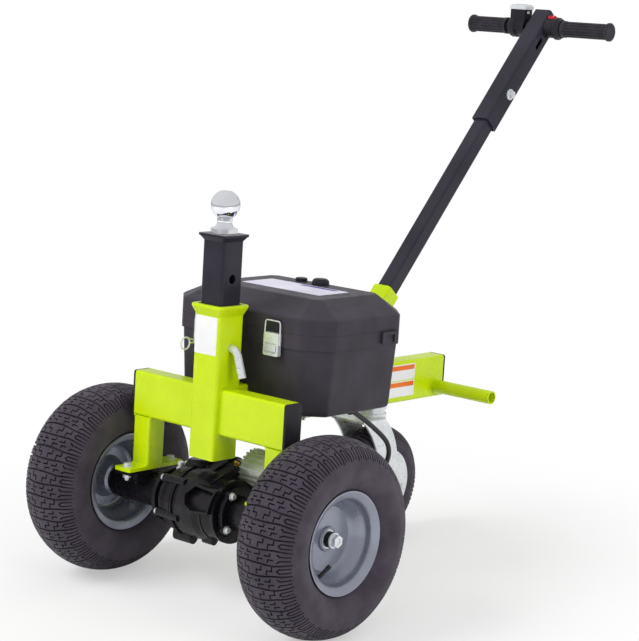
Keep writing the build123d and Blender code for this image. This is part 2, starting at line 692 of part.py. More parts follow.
def caster_parts():
    head_foot = beam_bottom - head_height
    head = Pos(0, swivel_y, beam_bottom - 6) * extrude(Circle(head_r), 6)
    head += Pos(0, swivel_y, head_foot) * extrude(Circle(head_r - 4), head_height - 6)
    head += Pos(0, swivel_y, head_foot) * extrude(Circle(head_r - 1), 6)
    head += Pos(0, swivel_y, head_foot - kingpin_drop) * extrude(Circle(kingpin_r), kingpin_drop + 2)
    head += Pos(0, swivel_y, head_foot - kingpin_drop) * extrude(RegularPolygon(13, 6), 8)
    parts["caster_plate"] = head

    # The fork is pressed from one sheet: a crown under the head and a leg down each side.
    deck_top = head_foot - seat_gap
    half = fork_gap / 2
    deck = make_hull(
        (Pos(0, swivel_y) * Circle(crown_r)).edges()
        + (Pos(0, swivel_y - (leg_front + leg_back) / 2) * Rectangle(
            2 * (half + fork_gauge), leg_front - leg_back)).edges())
    fork = Pos(0, 0, deck_top - fork_gauge) * extrude(deck, fork_gauge)
    fork += Pos(0, swivel_y, deck_top - 11) * extrude(Circle(crown_r - 5), 8)
    top_z = deck_top - 1
    front_y = swivel_y - leg_front
    back_y = swivel_y - leg_back
    neck_front = (caster_y - 37, caster_z + 63)
    neck_back = (caster_y + 20, caster_z + 66)
    shoulder = (caster_y + 31, caster_z + 59)
    rear_low = (caster_y + 53, caster_z - 17)
    front_low = (caster_y - 40, caster_z - 25)
    leg = make_face([
        Line((front_y, top_z), (back_y, top_z)),
        ThreePointArc((back_y, top_z), (caster_y + 12, caster_z + 89), neck_back),
        Line(neck_back, shoulder),
        ThreePointArc(shoulder, (caster_y + 55, caster_z + 25), rear_low),
        ThreePointArc(rear_low, (caster_y + 8, caster_z - 53), front_low),
        ThreePointArc(front_low, (caster_y - 46, caster_z + 19), neck_front),
        ThreePointArc(neck_front, (caster_y - 58, caster_z + 103), (front_y, top_z))])
    leg = extrude(Plane.YZ.offset(half) * leg, fork_gauge)
    leg -= rod(caster_axle_r + 0.05, 20, half - 5, caster_y, caster_z)
    fork += leg + mirrored(leg)
    fork -= Pos(0, swivel_y, deck_top - 30) * extrude(Circle(kingpin_r + running_gap), 40)
    parts["caster_fork"] = fork

    nut = 6.0
    shaft = rod(caster_axle_r, fork_gap + 2 * fork_gauge + 2 * nut + 6, -half - fork_gauge - nut - 3,
                caster_y, caster_z)
    ends = Part()
    for start in (-half - fork_gauge - seat_gap - nut, half + fork_gauge + seat_gap):
        ends += Pos(start, caster_y, caster_z) * Rot(0, 90, 0) * extrude(RegularPolygon(10, 6), nut)
    parts["caster_axle"] = shaft + ends

    w = caster_width / 2
    parts["caster_tyre"] = Pos(0, caster_y, caster_z) * revolve(caster_tyre_outline(w, caster_seat_r), Axis.X)
    lip = caster_seat_r + 4
    edge = caster_rim_half
    web = edge - 19
    bed = edge - caster_rim_gauge
    rim = turned([
        (-bed, caster_axle_r + running_gap), (-bed, caster_hub_r), (-web, caster_hub_r), (-web, lip - 10),
        (-edge + 5, lip - 10), (-edge + 2, lip), (-edge, lip), (-bed, lip - 7), (bed, lip - 7),
        (edge, lip), (edge - 2, lip), (edge - 5, lip - 10), (web, lip - 10), (web, caster_hub_r),
        (bed, caster_hub_r), (bed, caster_axle_r + running_gap)])
    parts["caster_rim"] = Pos(0, caster_y, caster_z) * rim


def caster_tyre_outline(w, seat):
    """The caster's tyre, from its crown down to the beads that sit on the rim."""
    crown = ThreePointArc((-w * 0.72, caster_r - 8), (0, caster_r), (w * 0.72, caster_r - 8))
    right = ThreePointArc((w * 0.72, caster_r - 8), (w, caster_r - 34), (w * 0.66, seat + 6))
    left = ThreePointArc((-w * 0.66, seat + 6), (-w, caster_r - 34), (-w * 0.72, caster_r - 8))
    base = Polyline((w * 0.66, seat + 6), (20, seat - 2), (-20, seat - 2), (-w * 0.66, seat + 6))
    return make_face([crown, right, base, left])


def wheel_parts():
    w = tyre_width / 2
    shoulder_x = 0.71 * w
    crown = ThreePointArc((-shoulder_x, tyre_r - 12), (0, tyre_r), (shoulder_x, tyre_r - 12))
    side = ThreePointArc((shoulder_x, tyre_r - 12), (w, tyre_r - 46), (w * 0.78, rim_lip_r + 4))
    other = ThreePointArc((-w * 0.78, rim_lip_r + 4), (-w, tyre_r - 46), (-shoulder_x, tyre_r - 12))
    heel = rim_half_width - 6.5
    seat = rim_seat_r + seat_gap
    toe = heel - 12
    inner_crown = ThreePointArc((w * 0.6, tyre_r - 20), (0, tyre_r - 12), (-w * 0.6, tyre_r - 20))
    inner_side = ThreePointArc((toe, seat + 8), (w - 9, tyre_r - 50), (w * 0.6, tyre_r - 20))
    inner_other = ThreePointArc((-w * 0.6, tyre_r - 20), (-w + 9, tyre_r - 50), (-toe, seat + 8))
    outline = make_face([
        crown, side,
        Polyline((w * 0.78, rim_lip_r + 4), (heel, rim_lip_r), (heel, seat), (toe, seat), (toe, seat + 8)),
        inner_side, inner_crown, inner_other,
        Polyline(
            (-toe, seat + 8), (-toe, seat), (-heel, seat), (-heel, rim_lip_r), (-w * 0.78, rim_lip_r + 4)),
        other])
    tyre = Pos(0, axle_y, axle_z) * revolve(outline, Axis.X)

    # The rim is a drop-centre drum whose flanks run out to the lips as one smooth bowl.
    g = rim_gauge
    lip = rim_half_width
    top = rim_lip_r
    well = rim_well_r - g
    under = rim_seat_r - g - 0.5
    back = rim_disc_x
    face = rim_disc_x + g
    foot = rim_well_half
    drum = Polyline(
        (-lip, top - 2.5), (-lip, top), (-lip + 1.5, top), (-lip + 5.5, top - 4), (-lip + 6, rim_seat_r),
        (-rim_seat_x, rim_seat_r), (-foot, rim_well_r), (foot, rim_well_r), (rim_seat_x, rim_seat_r),
        (lip - 6, rim_seat_r), (lip - 5.5, top - 4), (lip - 1.5, top), (lip, top), (lip, top - 2.5))
    bowl = Spline(
        (lip, top - 2.5), (lip - 2.6, top - 8), (lip - 7, under + 1.5), (rim_seat_x, under - 0.5),
        (foot + 8, well + 5), (face + 5, well - 2.5), (face, rim_disc_r))
    disc = Polyline(
        (face, rim_disc_r), (face, rim_recess_r + 4), (face + rim_collar - 1, rim_recess_r + 3),
        (face + rim_collar, rim_recess_r + 2), (face + rim_collar, rim_recess_r), (face + 1, rim_recess_r),
        (face + 1, hub_bore_r), (-rim_boss_depth, hub_bore_r), (-rim_boss_depth, rim_boss_r - 4),
        (-rim_boss_depth + 4, rim_boss_r), (back - 6, rim_boss_r + 3), (back, rim_boss_r + 9),
        (back, rim_disc_r - 1), (back - 1.5, rim_disc_r + 2), (back - 4, well - 2), (back - 8, well))
    flank = Spline(
        (back - 8, well), (-foot, well + 0.5), (-foot - 8, well + 5), (-rim_seat_x, under - 0.5),
        (-lip + 7, under + 1.5), (-lip + 2.6, top - 8), (-lip, top - 2.5))
    rim = revolve(make_face([drum, bowl, disc, flank]), Axis.X)
    rim = Pos(0, axle_y, axle_z) * rim

    # The half shaft clamps the rim between its shoulder and a collar, a spacer and the nut.
    shaft_start = axle_tube_end - hub_reach - wheel_x
    shoulder_r = shaft_r + 5
    seat = -rim_boss_depth - seat_gap
    floor = face + 1 + seat_gap
    flange = hub_nut_x - 2.5
    hub = turned([
        (shaft_start, 0), (shaft_start, shaft_r), (seat - 4, shaft_r), (seat - 4, shoulder_r),
        (seat, shoulder_r), (seat, shaft_r), (floor, shaft_r), (floor, rim_recess_r - 1),
        (face + rim_collar - 1, rim_recess_r - 1), (face + rim_collar - 1, hub_spacer_r),
        (flange, hub_spacer_r), (flange, hub_nut_r + 2.4), (hub_nut_x, hub_nut_r + 2.4), (hub_nut_x, 0)])
    nut = Pos(hub_nut_x, 0, 0) * Rot(0, 90, 0) * extrude(RegularPolygon(hub_nut_r, 6), hub_nut_height)
    nut -= rod(hub_nut_r / 2, 3, hub_nut_x + hub_nut_height - 2)
    hub = Pos(0, axle_y, axle_z) * (hub + nut)

    right = Pos(wheel_x, 0, 0)
    for name, part in (("tyre", tyre), ("rim", rim), ("hub", hub)):
        parts[name + "_right"] = right * part
        parts[name + "_left"] = mirrored(right * part)


# The motor's cable leaves a gland under the box and ends in the motor's cover.
cord_r = 4.5
exit_x = box_half - 51.0
exit_z = box_bottom - 6.0
entry_x = motor_right + 7.0
cord_points = [
    (exit_x, 212, exit_z), (exit_x + 1, 231, exit_z - 10), (exit_x + 2, 254, exit_z - 24),
    (exit_x + 4, 278, exit_z - 40.5), (exit_x + 6, 301, exit_z - 58), (exit_x + 7.5, 314, exit_z - 72),
    (exit_x + 8, 319, exit_z - 89.5), (exit_x + 7, 315, exit_z - 107), (entry_x + 16, 303.5, exit_z - 120.5),
    (entry_x + 14, 287, exit_z - 128), (entry_x + 11, 266, exit_z - 131), (entry_x + 8, 242, exit_z - 131.5),
    (entry_x + 5, 214, exit_z - 129.5), (entry_x + 2, 185, exit_z - 122.5), (entry_x, 156, motor_z),
    (entry_x, 128, motor_z)]


def cord_parts():
    exit_point = Vector(*cord_points[0])
    away = (Vector(*cord_points[1]) - exit_point).normalized()
    gland = Plane(exit_point, z_dir=away) * Pos(0, 0, -26) * extrude(Circle(9), 26)
    above = block(exit_x - 60, exit_x + 60, 100, 300, box_bottom - seat_gap, box_bottom + 60)
    parts["cable_gland"] = gland - above
    runs = [(Vector(*b) - Vector(*a)).length for a, b in zip(cord_points, cord_points[1:])]
    radii = []
    for k in range(1, len(cord_points) - 1):
        before = Vector(*cord_points[k]) - Vector(*cord_points[k - 1])
        after = Vector(*cord_points[k + 1]) - Vector(*cord_points[k])
        turn = radians(before.get_angle(after))
        radii.append(0.45 * min(runs[k - 1], runs[k]) / max(1e-6, abs(sin(turn / 2) / cos(turn / 2))))
    print("cord radii", [round(r) for r in radii])
    path = FilletPolyline(*cord_points, radius=radii)
    start = Plane(path @ 0, z_dir=path % 0)
    parts["motor_cable"] = sweep(start * Circle(cord_r), path=path)
    print("cord length", round(path.length, 1))


frame_parts()
hitch_parts()
transaxle_parts()
handle_parts()
box_parts()
caster_parts()
wheel_parts()
cord_parts()

# The chassis turns about its axle until the caster stands on the floor. The
# origin is on the floor, halfway between the foremost and the rearmost point.
leaned = Pos(0, 0, tyre_r) * Rot(-degrees(lean), 0, 0) * Pos(0, -axle_y, -axle_z)
boxes = [(leaned * part).bounding_box() for part in parts.values()]
origin_y = -(min(box.min.Y for box in boxes) + max(box.max.Y for box in boxes)) / 2
stand = Pos(0, origin_y, 0) * leaned


def placed(x, y, z):
    dy = y - axle_y
    dz = z - axle_z
    return (x, origin_y + dy * cos(lean) + dz * sin(lean), tyre_r - dy * sin(lean) + dz * cos(lean))


os.makedirs("parts", exist_ok=True)
for name, part in parts.items():
    export_step(stand * part, f"parts/{name}.step")

for label, point in (
        ("axle", (0, axle_y, axle_z)), ("swivel", (0, swivel_y, beam_bottom)),
        ("caster axle", (0, caster_y, caster_z)), ("lid hinge", (0, box_rear + hinge_offset, lid_bottom)),
        ("ball", (0, 0, ball_z)), ("spare pin hole", (0, 0, pin_z + 2 * post_hole_pitch))):
    print(label, [round(v, 3) for v in placed(*point)])
print("up axis", round(sin(lean), 6), round(cos(lean), 6))
print("origin y", round(origin_y, 3))
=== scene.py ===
# %% [markdown]
# An electric trailer dolly, dressed for its portrait. The dolly is a powered axle that a
# person steers by a tow handle: two turf tyres, a ball post in a sleeve, a battery box over
# a central beam and a swivel caster. Its structure comes in as a fixed frame, and each cell
# below adds one finish or one small piece to it.

# %% Load the frame
import json
from math import asin, atan2, cos, pi, radians, sin

import bmesh
import bpy
from mathutils import Matrix, Vector, geometry


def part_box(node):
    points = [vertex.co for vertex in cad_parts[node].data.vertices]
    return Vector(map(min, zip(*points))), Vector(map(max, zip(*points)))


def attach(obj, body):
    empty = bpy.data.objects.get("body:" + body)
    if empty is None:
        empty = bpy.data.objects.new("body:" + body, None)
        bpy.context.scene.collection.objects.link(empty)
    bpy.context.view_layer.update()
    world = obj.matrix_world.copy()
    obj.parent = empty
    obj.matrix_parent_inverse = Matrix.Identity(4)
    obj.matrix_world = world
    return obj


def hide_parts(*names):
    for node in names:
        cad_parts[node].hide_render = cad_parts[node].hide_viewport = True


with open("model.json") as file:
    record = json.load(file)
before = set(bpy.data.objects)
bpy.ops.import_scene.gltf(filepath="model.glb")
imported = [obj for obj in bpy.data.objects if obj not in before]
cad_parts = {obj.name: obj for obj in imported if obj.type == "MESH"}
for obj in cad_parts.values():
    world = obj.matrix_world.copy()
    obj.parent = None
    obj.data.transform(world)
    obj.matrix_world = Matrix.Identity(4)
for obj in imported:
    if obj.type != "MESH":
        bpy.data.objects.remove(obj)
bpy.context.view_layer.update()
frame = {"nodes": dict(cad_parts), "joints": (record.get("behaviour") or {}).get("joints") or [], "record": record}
scene = bpy.context.scene
nodes = frame["nodes"]
joints = {joint["name"]: joint for joint in frame["joints"]}

# %% [markdown]
# The chassis parks a little nose-up, because the drive wheels are larger than the caster.
# Tubes and boxes are square to the chassis and not to the floor, so small pieces are drawn
# in the chassis's own millimetres, with Y to the rear from the post's axis and Z up from
# the tyres' lowest level. One matrix then leans them about the axle and turns them to metres.

# %% The chassis's own directions
axle_y = 4.3
axle_z = 172.0
axle_centre = Vector((0.0, *joints["wheel_right_spin"]["pos_m"][1:]))
up = joints["caster_turn"]["axis"]
lean = atan2(up[1], up[2])
chassis = (
    Matrix.Translation(axle_centre)
    @ Matrix.Rotation(-lean, 4, "X")
    @ Matrix.Scale(0.001, 4)
    @ Matrix.Translation((0, -axle_y, -axle_z))
)
print("lean in degrees", round(lean * 180 / pi, 2), "axle at", [round(v, 4) for v in axle_centre])

# %% [markdown]
# The picture is taken by a long lens from the front right, a little above the box. The
# camera's place and its two angles are all that it needs, because it doesn't roll.

# %% Camera
camera_place = (2.3611, -2.8171, 1.2783)
camera_azimuth = radians(41.242)
camera_elevation = radians(12.975)
camera_data = bpy.data.cameras.new("portrait_camera")
camera_data.sensor_fit = "VERTICAL"
camera_data.sensor_height = 36
camera_data.lens = 113.63
camera = bpy.data.objects.new("portrait_camera", camera_data)
camera.matrix_world = (
    Matrix.Translation(camera_place)
    @ Matrix.Rotation(camera_azimuth, 4, "Z")
    @ Matrix.Rotation(pi / 2 - camera_elevation, 4, "X")
)
scene.collection.objects.link(camera)
scene.camera = camera
print("camera at", camera_place, "with a lens of", camera_data.lens, "mm")

# %% [markdown]
# Every finish is a small tree of shader nodes. One function adds a node with its settings
# and links, and one turns the hex colours of a paint card, which are sRGB, to the linear
# values that the shader works in. Patterns are given their real size in millimetres.

# %% Helpers for the finishes
def linear(code):
    """A hex colour as linear red, green, blue and alpha."""
    channels = [int(code[k:k + 2], 16) / 255 for k in (1, 3, 5)]
    return [c / 12.92 if c <= 0.04045 else ((c + 0.055) / 1.055) ** 2.4 for c in channels] + [1.0]


def per_mm(size):
    """The texture scale at which a pattern repeats about every size millimetres."""
    return 1000.0 / size


def add(tree, kind, inputs=None, **settings):
    """Adds one node, sets its properties, and sets or links its inputs."""
    made = tree.nodes.new(kind)
    for name, value in settings.items():
        setattr(made, name, value)
    for socket, value in (inputs or {}).items():
        if isinstance(value, bpy.types.NodeSocket):
            tree.links.new(value, made.inputs[socket])
        else:
            made.inputs[socket].default_value = value
    return made


finishes = {}


def finish(name, colour, roughness, **sockets):
    """Starts a material with one shader, and returns its tree, shader and place on the piece."""
    material = bpy.data.materials.new(name)
    material.use_nodes = True
    tree = material.node_tree
    shader = tree.nodes["Principled BSDF"]
    shader.inputs["Base Color"].default_value = linear(colour)
    shader.inputs["Roughness"].default_value = roughness
    for socket, value in sockets.items():
        shader.inputs[socket.replace("_", " ")].default_value = value
    finishes[name] = material
    place = add(tree, "ShaderNodeTexCoord").outputs["Object"]
    return tree, shader, place


def mottle(tree, shader, place, low, high, size, detail=3.0, spread=(0.35, 0.65)):
    """Two close colours that drift into each other over about size millimetres."""
    cloud = add(tree, "ShaderNodeTexNoise", {"Vector": place, "Scale": per_mm(size), "Detail": detail})
    ramp = add(tree, "ShaderNodeValToRGB", {"Fac": cloud.outputs["Fac"]})
    ramp.color_ramp.elements[0].position = spread[0]
    ramp.color_ramp.elements[0].color = linear(low)
    ramp.color_ramp.elements[1].position = spread[1]
    ramp.color_ramp.elements[1].color = linear(high)
    tree.links.new(ramp.outputs["Color"], shader.inputs["Base Color"])
    return cloud


def uneven(tree, shader, place, size, low, high):
    """Roughness that wanders between two values over about size millimetres."""
    cloud = add(tree, "ShaderNodeTexNoise", {"Vector": place, "Scale": per_mm(size), "Detail": 4.0})
    span = add(tree, "ShaderNodeMapRange", {
        "Value": cloud.outputs["Fac"], "From Min": 0.3, "From Max": 0.7, "To Min": low, "To Max": high})
    tree.links.new(span.outputs["Result"], shader.inputs["Roughness"])


def relief(tree, shader, height, depth_mm, strength=1.0, under=None):
    """Bump from a height of 0 to 1, depth_mm deep."""
    inputs = {"Height": height, "Distance": depth_mm / 1000, "Strength": strength}
    if under is not None:
        inputs["Normal"] = under.outputs["Normal"]
    bump = add(tree, "ShaderNodeBump", inputs)
    tree.links.new(bump.outputs["Normal"], shader.inputs["Normal"])
    return bump


# %% [markdown]
# Powder coat is paint that was sprayed as dry powder and baked. It flows into a thick even
# skin with a faint orange peel: soft dimples two or three millimetres across, which break
# the edges of a reflection. The dimples are the whole character of this paint, so they are
# a low bump, and the colour only drifts a little.

# %% Powder coats
def powder_coat(name, low, high, roughness, gloss, peel_mm, peel_depth):
    """A baked paint between two colours, with dimples peel_mm wide and peel_depth deep."""
    tree, shader, place = finish(name, high, roughness, IOR=1.5, Specular_IOR_Level=gloss)
    mottle(tree, shader, place, low, high, 90)
    uneven(tree, shader, place, 25, roughness - 0.04, roughness + 0.05)
    peel = add(tree, "ShaderNodeTexNoise", {"Vector": place, "Scale": per_mm(peel_mm), "Detail": 1.5})
    relief(tree, shader, peel.outputs["Fac"], peel_depth, 0.5)


powder_coat("lime_gloss_powder_coat", "#C0DA02", "#C9E308", 0.26, 0.35, 2.6, 0.12)
powder_coat("black_gloss_powder_coat", "#282730", "#32303A", 0.22, 0.22, 1.8, 0.08)

# %% [markdown]
# The axle's gear case is cast in a sand mould and painted black. Sand leaves a coarse skin
# that no paint hides, so this black is rougher than the poles' and its bump has two sizes:
# grains under a millimetre, over slow waves from the mould.

# %% Painted casting
tree, shader, place = finish("black_painted_casting", "#151318", 0.3, IOR=1.5, Specular_IOR_Level=0.28)
mottle(tree, shader, place, "#100E12", "#1A171D", 30)
uneven(tree, shader, place, 12, 0.22, 0.36)
grains = add(tree, "ShaderNodeTexNoise", {"Vector": place, "Scale": per_mm(0.9), "Detail": 4.0})
waves = add(tree, "ShaderNodeTexNoise", {"Vector": place, "Scale": per_mm(14), "Detail": 1.0})
slow = relief(tree, shader, waves.outputs["Fac"], 0.8, 0.35)
relief(tree, shader, grains.outputs["Fac"], 0.25, 0.6, slow)

# %% [markdown]
# The rims are pressed from sheet and dipped in silver-grey enamel. Enamel is smoother than
# powder coat, and its aluminium flakes give long soft highlights down the drum.

# %% Enamel of the rims
tree, shader, place = finish(
    "silver_grey_enamel", "#9093A2", 0.3, Metallic=0.6, Coat_Weight=0.3, Coat_Roughness=0.1)
mottle(tree, shader, place, "#8C8F9E", "#9396A5", 60, 1.0)
uneven(tree, shader, place, 30, 0.26, 0.33)
peel = add(tree, "ShaderNodeTexNoise", {"Vector": place, "Scale": per_mm(3.2), "Detail": 1.0})
relief(tree, shader, peel.outputs["Fac"], 0.04, 0.3)

# %% [markdown]
# Fasteners, the latches and the caster are steel with a thin zinc plating. Fresh zinc is a
# cool bright grey. Its crystals are too fine to show, so faint cloudy patches a centimetre or
# two wide, of unequal gloss, stand in for them. Chrome on the ball is polished, so only its
# few handling marks keep it from being a mirror. The motor is die-cast aluminium, left bare:
# warmer than zinc and dull from the die's release spray. The green in its grey is a painted
# reflection of the lime paint nearby.

# %% Metals
def plated(name, low, high, patch_mm, smooth, dull, metallic=1.0):
    """A metal skin whose colour and gloss drift in patches of patch_mm."""
    tree, shader, place = finish(name, high, smooth, Metallic=metallic)
    mottle(tree, shader, place, low, high, patch_mm, 2.0)
    uneven(tree, shader, place, patch_mm / 2, smooth, dull)


plated("bright_zinc_plating", "#DADEE1", "#E6E9EB", 16, 0.26, 0.34, 0.5)
plated("polished_chrome", "#EBEDF3", "#F4F6FA", 25, 0.05, 0.1)
# The green in the motor's two greys is a painted reflection of the lime paint nearby.
plated("die_cast_aluminium_lime_reflection", "#D3D8CE", "#E2E6DD", 9, 0.32, 0.44, 0.6)
plated("turned_brass", "#B08A3E", "#D8B45C", 5, 0.22, 0.34)

# %% [markdown]
# Tyre rubber is vulcanised with carbon black. It is never a true black in daylight: the
# skin scatters a violet grey, brighter where dust and bloom settle. A grain from the mould
# breaks its sheen. The real one is too fine to show at this size, so it is drawn about a
# millimetre wide. The wider mottle keeps the large sidewall from looking flat.

# %% Rubber
tree, shader, place = finish(
    "vulcanised_tyre_rubber", "#403944", 0.55, IOR=1.5, Specular_IOR_Level=0.22, Sheen_Weight=0.06)
mottle(tree, shader, place, "#39333D", "#463F4A", 35)
uneven(tree, shader, place, 14, 0.46, 0.62)
grain = add(tree, "ShaderNodeTexNoise", {"Vector": place, "Scale": per_mm(1.2), "Detail": 5.0})
relief(tree, shader, grain.outputs["Fac"], 0.2, 0.5)

tree, shader, place = finish(
    "moulded_grip_rubber", "#2A282E", 0.5, IOR=1.5, Specular_IOR_Level=0.25, Sheen_Weight=0.06)
mottle(tree, shader, place, "#242228", "#302D34", 12)
grain = add(tree, "ShaderNodeTexNoise", {"Vector": place, "Scale": per_mm(0.8), "Detail": 3.0})
relief(tree, shader, grain.outputs["Fac"], 0.12, 0.5)

tree, shader, place = finish("pvc_cable_jacket", "#17171A", 0.38, IOR=1.53)
mottle(tree, shader, place, "#131315", "#1E1E22", 15)
uneven(tree, shader, place, 6, 0.3, 0.46)

# %% [markdown]
# The battery box is injection-moulded polypropylene. Its mould was etched, so the whole
# skin carries a leathery grain about a millimetre and a half wide that turns gloss into a
# broad grey sheen. A cell pattern gives that pebbled grain better than plain noise. The
# other plastics are smoother, and vinyl film is smoothest: their pattern is so shallow that
# it only keeps a reflection from being perfect.

# %% Plastics
def moulded(name, low, high, roughness, grain_mm, depth, spread_mm=60, gloss=0.4):
    """A plastic with the grain of its mould, grain_mm wide and depth deep."""
    tree, shader, place = finish(name, high, roughness, IOR=1.49, Specular_IOR_Level=gloss)
    mottle(tree, shader, place, low, high, spread_mm)
    uneven(tree, shader, place, 20, roughness - 0.05, roughness + 0.06)
    pebbles = add(
        tree, "ShaderNodeTexVoronoi", {"Vector": place, "Scale": per_mm(grain_mm)}, feature="SMOOTH_F1")
    relief(tree, shader, pebbles.outputs["Distance"], depth, 0.6)


moulded("grained_polypropylene", "#36323A", "#3F3A43", 0.42, 1.6, 0.2, gloss=0.18)
moulded("moulded_black_abs", "#1E1D22", "#27262C", 0.36, 0.9, 0.08, gloss=0.22)
moulded("battery_case_abs", "#2C2C30", "#38383D", 0.42, 1.2, 0.1)
moulded("red_polycarbonate", "#B3121C", "#CE1A26", 0.2, 3.0, 0.02)
moulded("pale_grey_abs", "#C9CCD0", "#D9DBDE", 0.35, 1.0, 0.05)
moulded("white_vinyl_label", "#E4E4E6", "#EDEDEE", 0.38, 4.0, 0.02)
moulded("orange_vinyl_stripe", "#E2641C", "#EE7626", 0.38, 4.0, 0.02)
moulded("lilac_vinyl_label", "#D6D3E6", "#E2DFEE", 0.38, 4.0, 0.02)
moulded("violet_vinyl_stripe", "#3F3A86", "#4C4696", 0.38, 4.0, 0.02)
print("finishes", len(finishes))

# %% [markdown]
# The structure's own solids keep their shape, and each takes the finish of its material
# slot. The record already says which slot a node has, so one table from slot to finish
# dresses them all.

# %% Finishes on the frame
slot_finish = {
    "lime_powder_coat": "lime_gloss_powder_coat",
    "black_powder_coat": "black_gloss_powder_coat",
    "black_casting": "black_painted_casting",
    "rim_enamel": "silver_grey_enamel",
    "zinc_plate": "bright_zinc_plating",
    "chrome_plate": "polished_chrome",
    "cast_aluminium": "die_cast_aluminium_lime_reflection",
    "tyre_rubber": "vulcanised_tyre_rubber",
    "box_plastic": "grained_polypropylene",
    "black_plastic": "moulded_black_abs",
    "battery_case": "battery_case_abs",
    "grip_rubber": "moulded_grip_rubber",
    "cable_jacket": "pvc_cable_jacket",
    "red_plastic": "red_polycarbonate",
    "pale_plastic": "pale_grey_abs",
}
for subpart in frame["record"]["subparts"]:
    mesh = nodes[subpart["node"]].data
    mesh.materials.clear()
    mesh.materials.append(finishes[slot_finish[subpart["material_slot"]]])

# %% [markdown]
# Small pieces are meshes built from rings of points: a turned shape is a row of circles, a
# bolt's head is a row of six-sided rings, and a weld or a lead is rings along a path. Each
# is made in the chassis's millimetres, and its edges are sharp where faces meet steeply.

# %% Helpers for the small pieces
def lofted(rings, closed=False):
    """Points and faces that join rings of equally many points, with flat ends unless closed."""
    count = len(rings[0])
    points = [point for ring in rings for point in ring]
    faces = []
    for k in range(len(rings) if closed else len(rings) - 1):
        low = k * count
        high = (k + 1) % len(rings) * count
        for j in range(count):
            after = (j + 1) % count
            faces.append((low + j, low + after, high + after, high + j))
    if not closed:
        faces.append(tuple(reversed(range(count))))
        faces.append(tuple(range(len(points) - count, len(points))))
    return points, faces


def circle(x, radius, segments=24):
    """A ring of points round the X axis."""
    angles = [2 * pi * k / segments for k in range(segments)]
    return [Vector((x, radius * cos(angle), radius * sin(angle))) for angle in angles]


def turned(outline, segments=24):
    """A shape turned about X from its (x, radius) outline."""
    return lofted([circle(x, radius, segments) for x, radius in outline])


def hexagon(x, across, limit=None):
    """A ring of 24 points on a hexagon, cut by a circle of radius limit where that is smaller."""
    ring = []
    for k in range(24):
        angle = 2 * pi * k / 24
        radius = across / 2 / cos((angle + pi / 6) % (pi / 3) - pi / 6)
        radius = min(radius, limit or radius)
        ring.append(Vector((x, radius * cos(angle), radius * sin(angle))))
    return ring


def bolt_head(across, height, washer_r=0.0, washer=1.6):
    """A chamfered hexagon head that stands along +X from x = 0, on its washer if it has one."""
    foot = washer if washer_r else 0.0
    head = lofted([
        hexagon(foot, across), hexagon(foot + 0.8 * height, across),
        hexagon(foot + height, across, 0.48 * across)])
    if not washer_r:
        return head
    return merged([head, turned([(0, washer_r), (washer - 0.3, washer_r), (washer, washer_r - 0.3)])])


def merged(shapes):
    """Several shapes as one."""
    points = []
    faces = []
    for more_points, more_faces in shapes:
        faces += [tuple(len(points) + k for k in face) for face in more_faces]
        points += more_points
    return points, faces


def placed(shape, place, axis=(1, 0, 0), spin=0.0):
    """The shape with its own X turned to axis and its start at place."""
    turn = Vector((1, 0, 0)).rotation_difference(Vector(axis)).to_matrix().to_4x4()
    move = Matrix.Translation(place) @ turn @ Matrix.Rotation(spin, 4, "X")
    return [move @ point for point in shape[0]], shape[1]


def box_shape(low, high):
    """A block between two corners."""
    x0, y0, z0 = low
    x1, y1, z1 = high
    plan = [(y0, z0), (y1, z0), (y1, z1), (y0, z1)]
    return lofted([[Vector((x, y, z)) for y, z in plan] for x in (x0, x1)])


def along(path, radius, segments=8, closed=False):
    """Rings square to a path; radius is a number or a function of the distance along it."""
    path = [Vector(point) for point in path]
    rings = []
    travelled = 0.0
    side = None
    for k, point in enumerate(path):
        after = path[(k + 1) % len(path)] if closed else path[min(k + 1, len(path) - 1)]
        before = path[k - 1] if closed else path[max(k - 1, 0)]
        heading = (after - before).normalized()
        if side is None:
            side = heading.orthogonal().normalized()
        side = (side - heading * side.dot(heading)).normalized()
        other = heading.cross(side)
        travelled += (point - path[k - 1]).length if k else 0.0
        size = radius(travelled) if callable(radius) else radius
        angles = [2 * pi * j / segments for j in range(segments)]
        rings.append([point + size * (cos(a) * side + sin(a) * other) for a in angles])
    return lofted(rings, closed)


def piece(name, shape, look, body="chassis", sharp=35.0):
    """A visual piece in the chassis's millimetres that rides on a body."""
    points, faces = shape
    mesh = bpy.data.meshes.new(name)
    mesh.from_pydata([chassis @ Vector(point) for point in points], [], faces)
    work = bmesh.new()
    work.from_mesh(mesh)
    bmesh.ops.recalc_face_normals(work, faces=work.faces)
    work.to_mesh(mesh)
    work.free()
    mesh.shade_smooth()
    mesh.set_sharp_from_angle(angle=radians(sharp))
    mesh.materials.append(finishes[look])
    made = bpy.data.objects.new(name, mesh)
    scene.collection.objects.link(made)
    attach(made, body)
    print(name, "faces", len(faces))
    return made


# %% [markdown]
# A turf tyre grips lawns without tearing them. Its tread is many shallow bars across the
# crown, parted by narrow grooves, and the bars' middles are cut by small hooked slits that
# open as the tyre rolls. The pattern repeats 24 times round the tyre, so one pitch is drawn
# flat: u runs round the tyre and v across it. The grooves are strokes with a width. A
# constrained triangulation splits the pitch along them, and the triangles inside a stroke
# are sunk to form the groove's floor, with walls at the stroke's edges.

# %% Tread patterns
def stroke(points, width):
    """The rectangles that a groove of this width covers along a run of (u, v) points."""
    boxes = []
    for start, end in zip(points, points[1:]):
        start = Vector(start)
        end = Vector(end)
        ahead = (end - start).normalized() * width / 2
        beside = Vector((-ahead.y, ahead.x))
        boxes.append((
            start - ahead - beside, end + ahead - beside,
            end + ahead + beside, start - ahead + beside))
    return boxes


def covers(box, point):
    """Whether the point lies inside the rectangle."""
    sides = zip(box, box[1:] + box[:1])
    return all((end - start).cross(point - start) > 0 for start, end in sides)


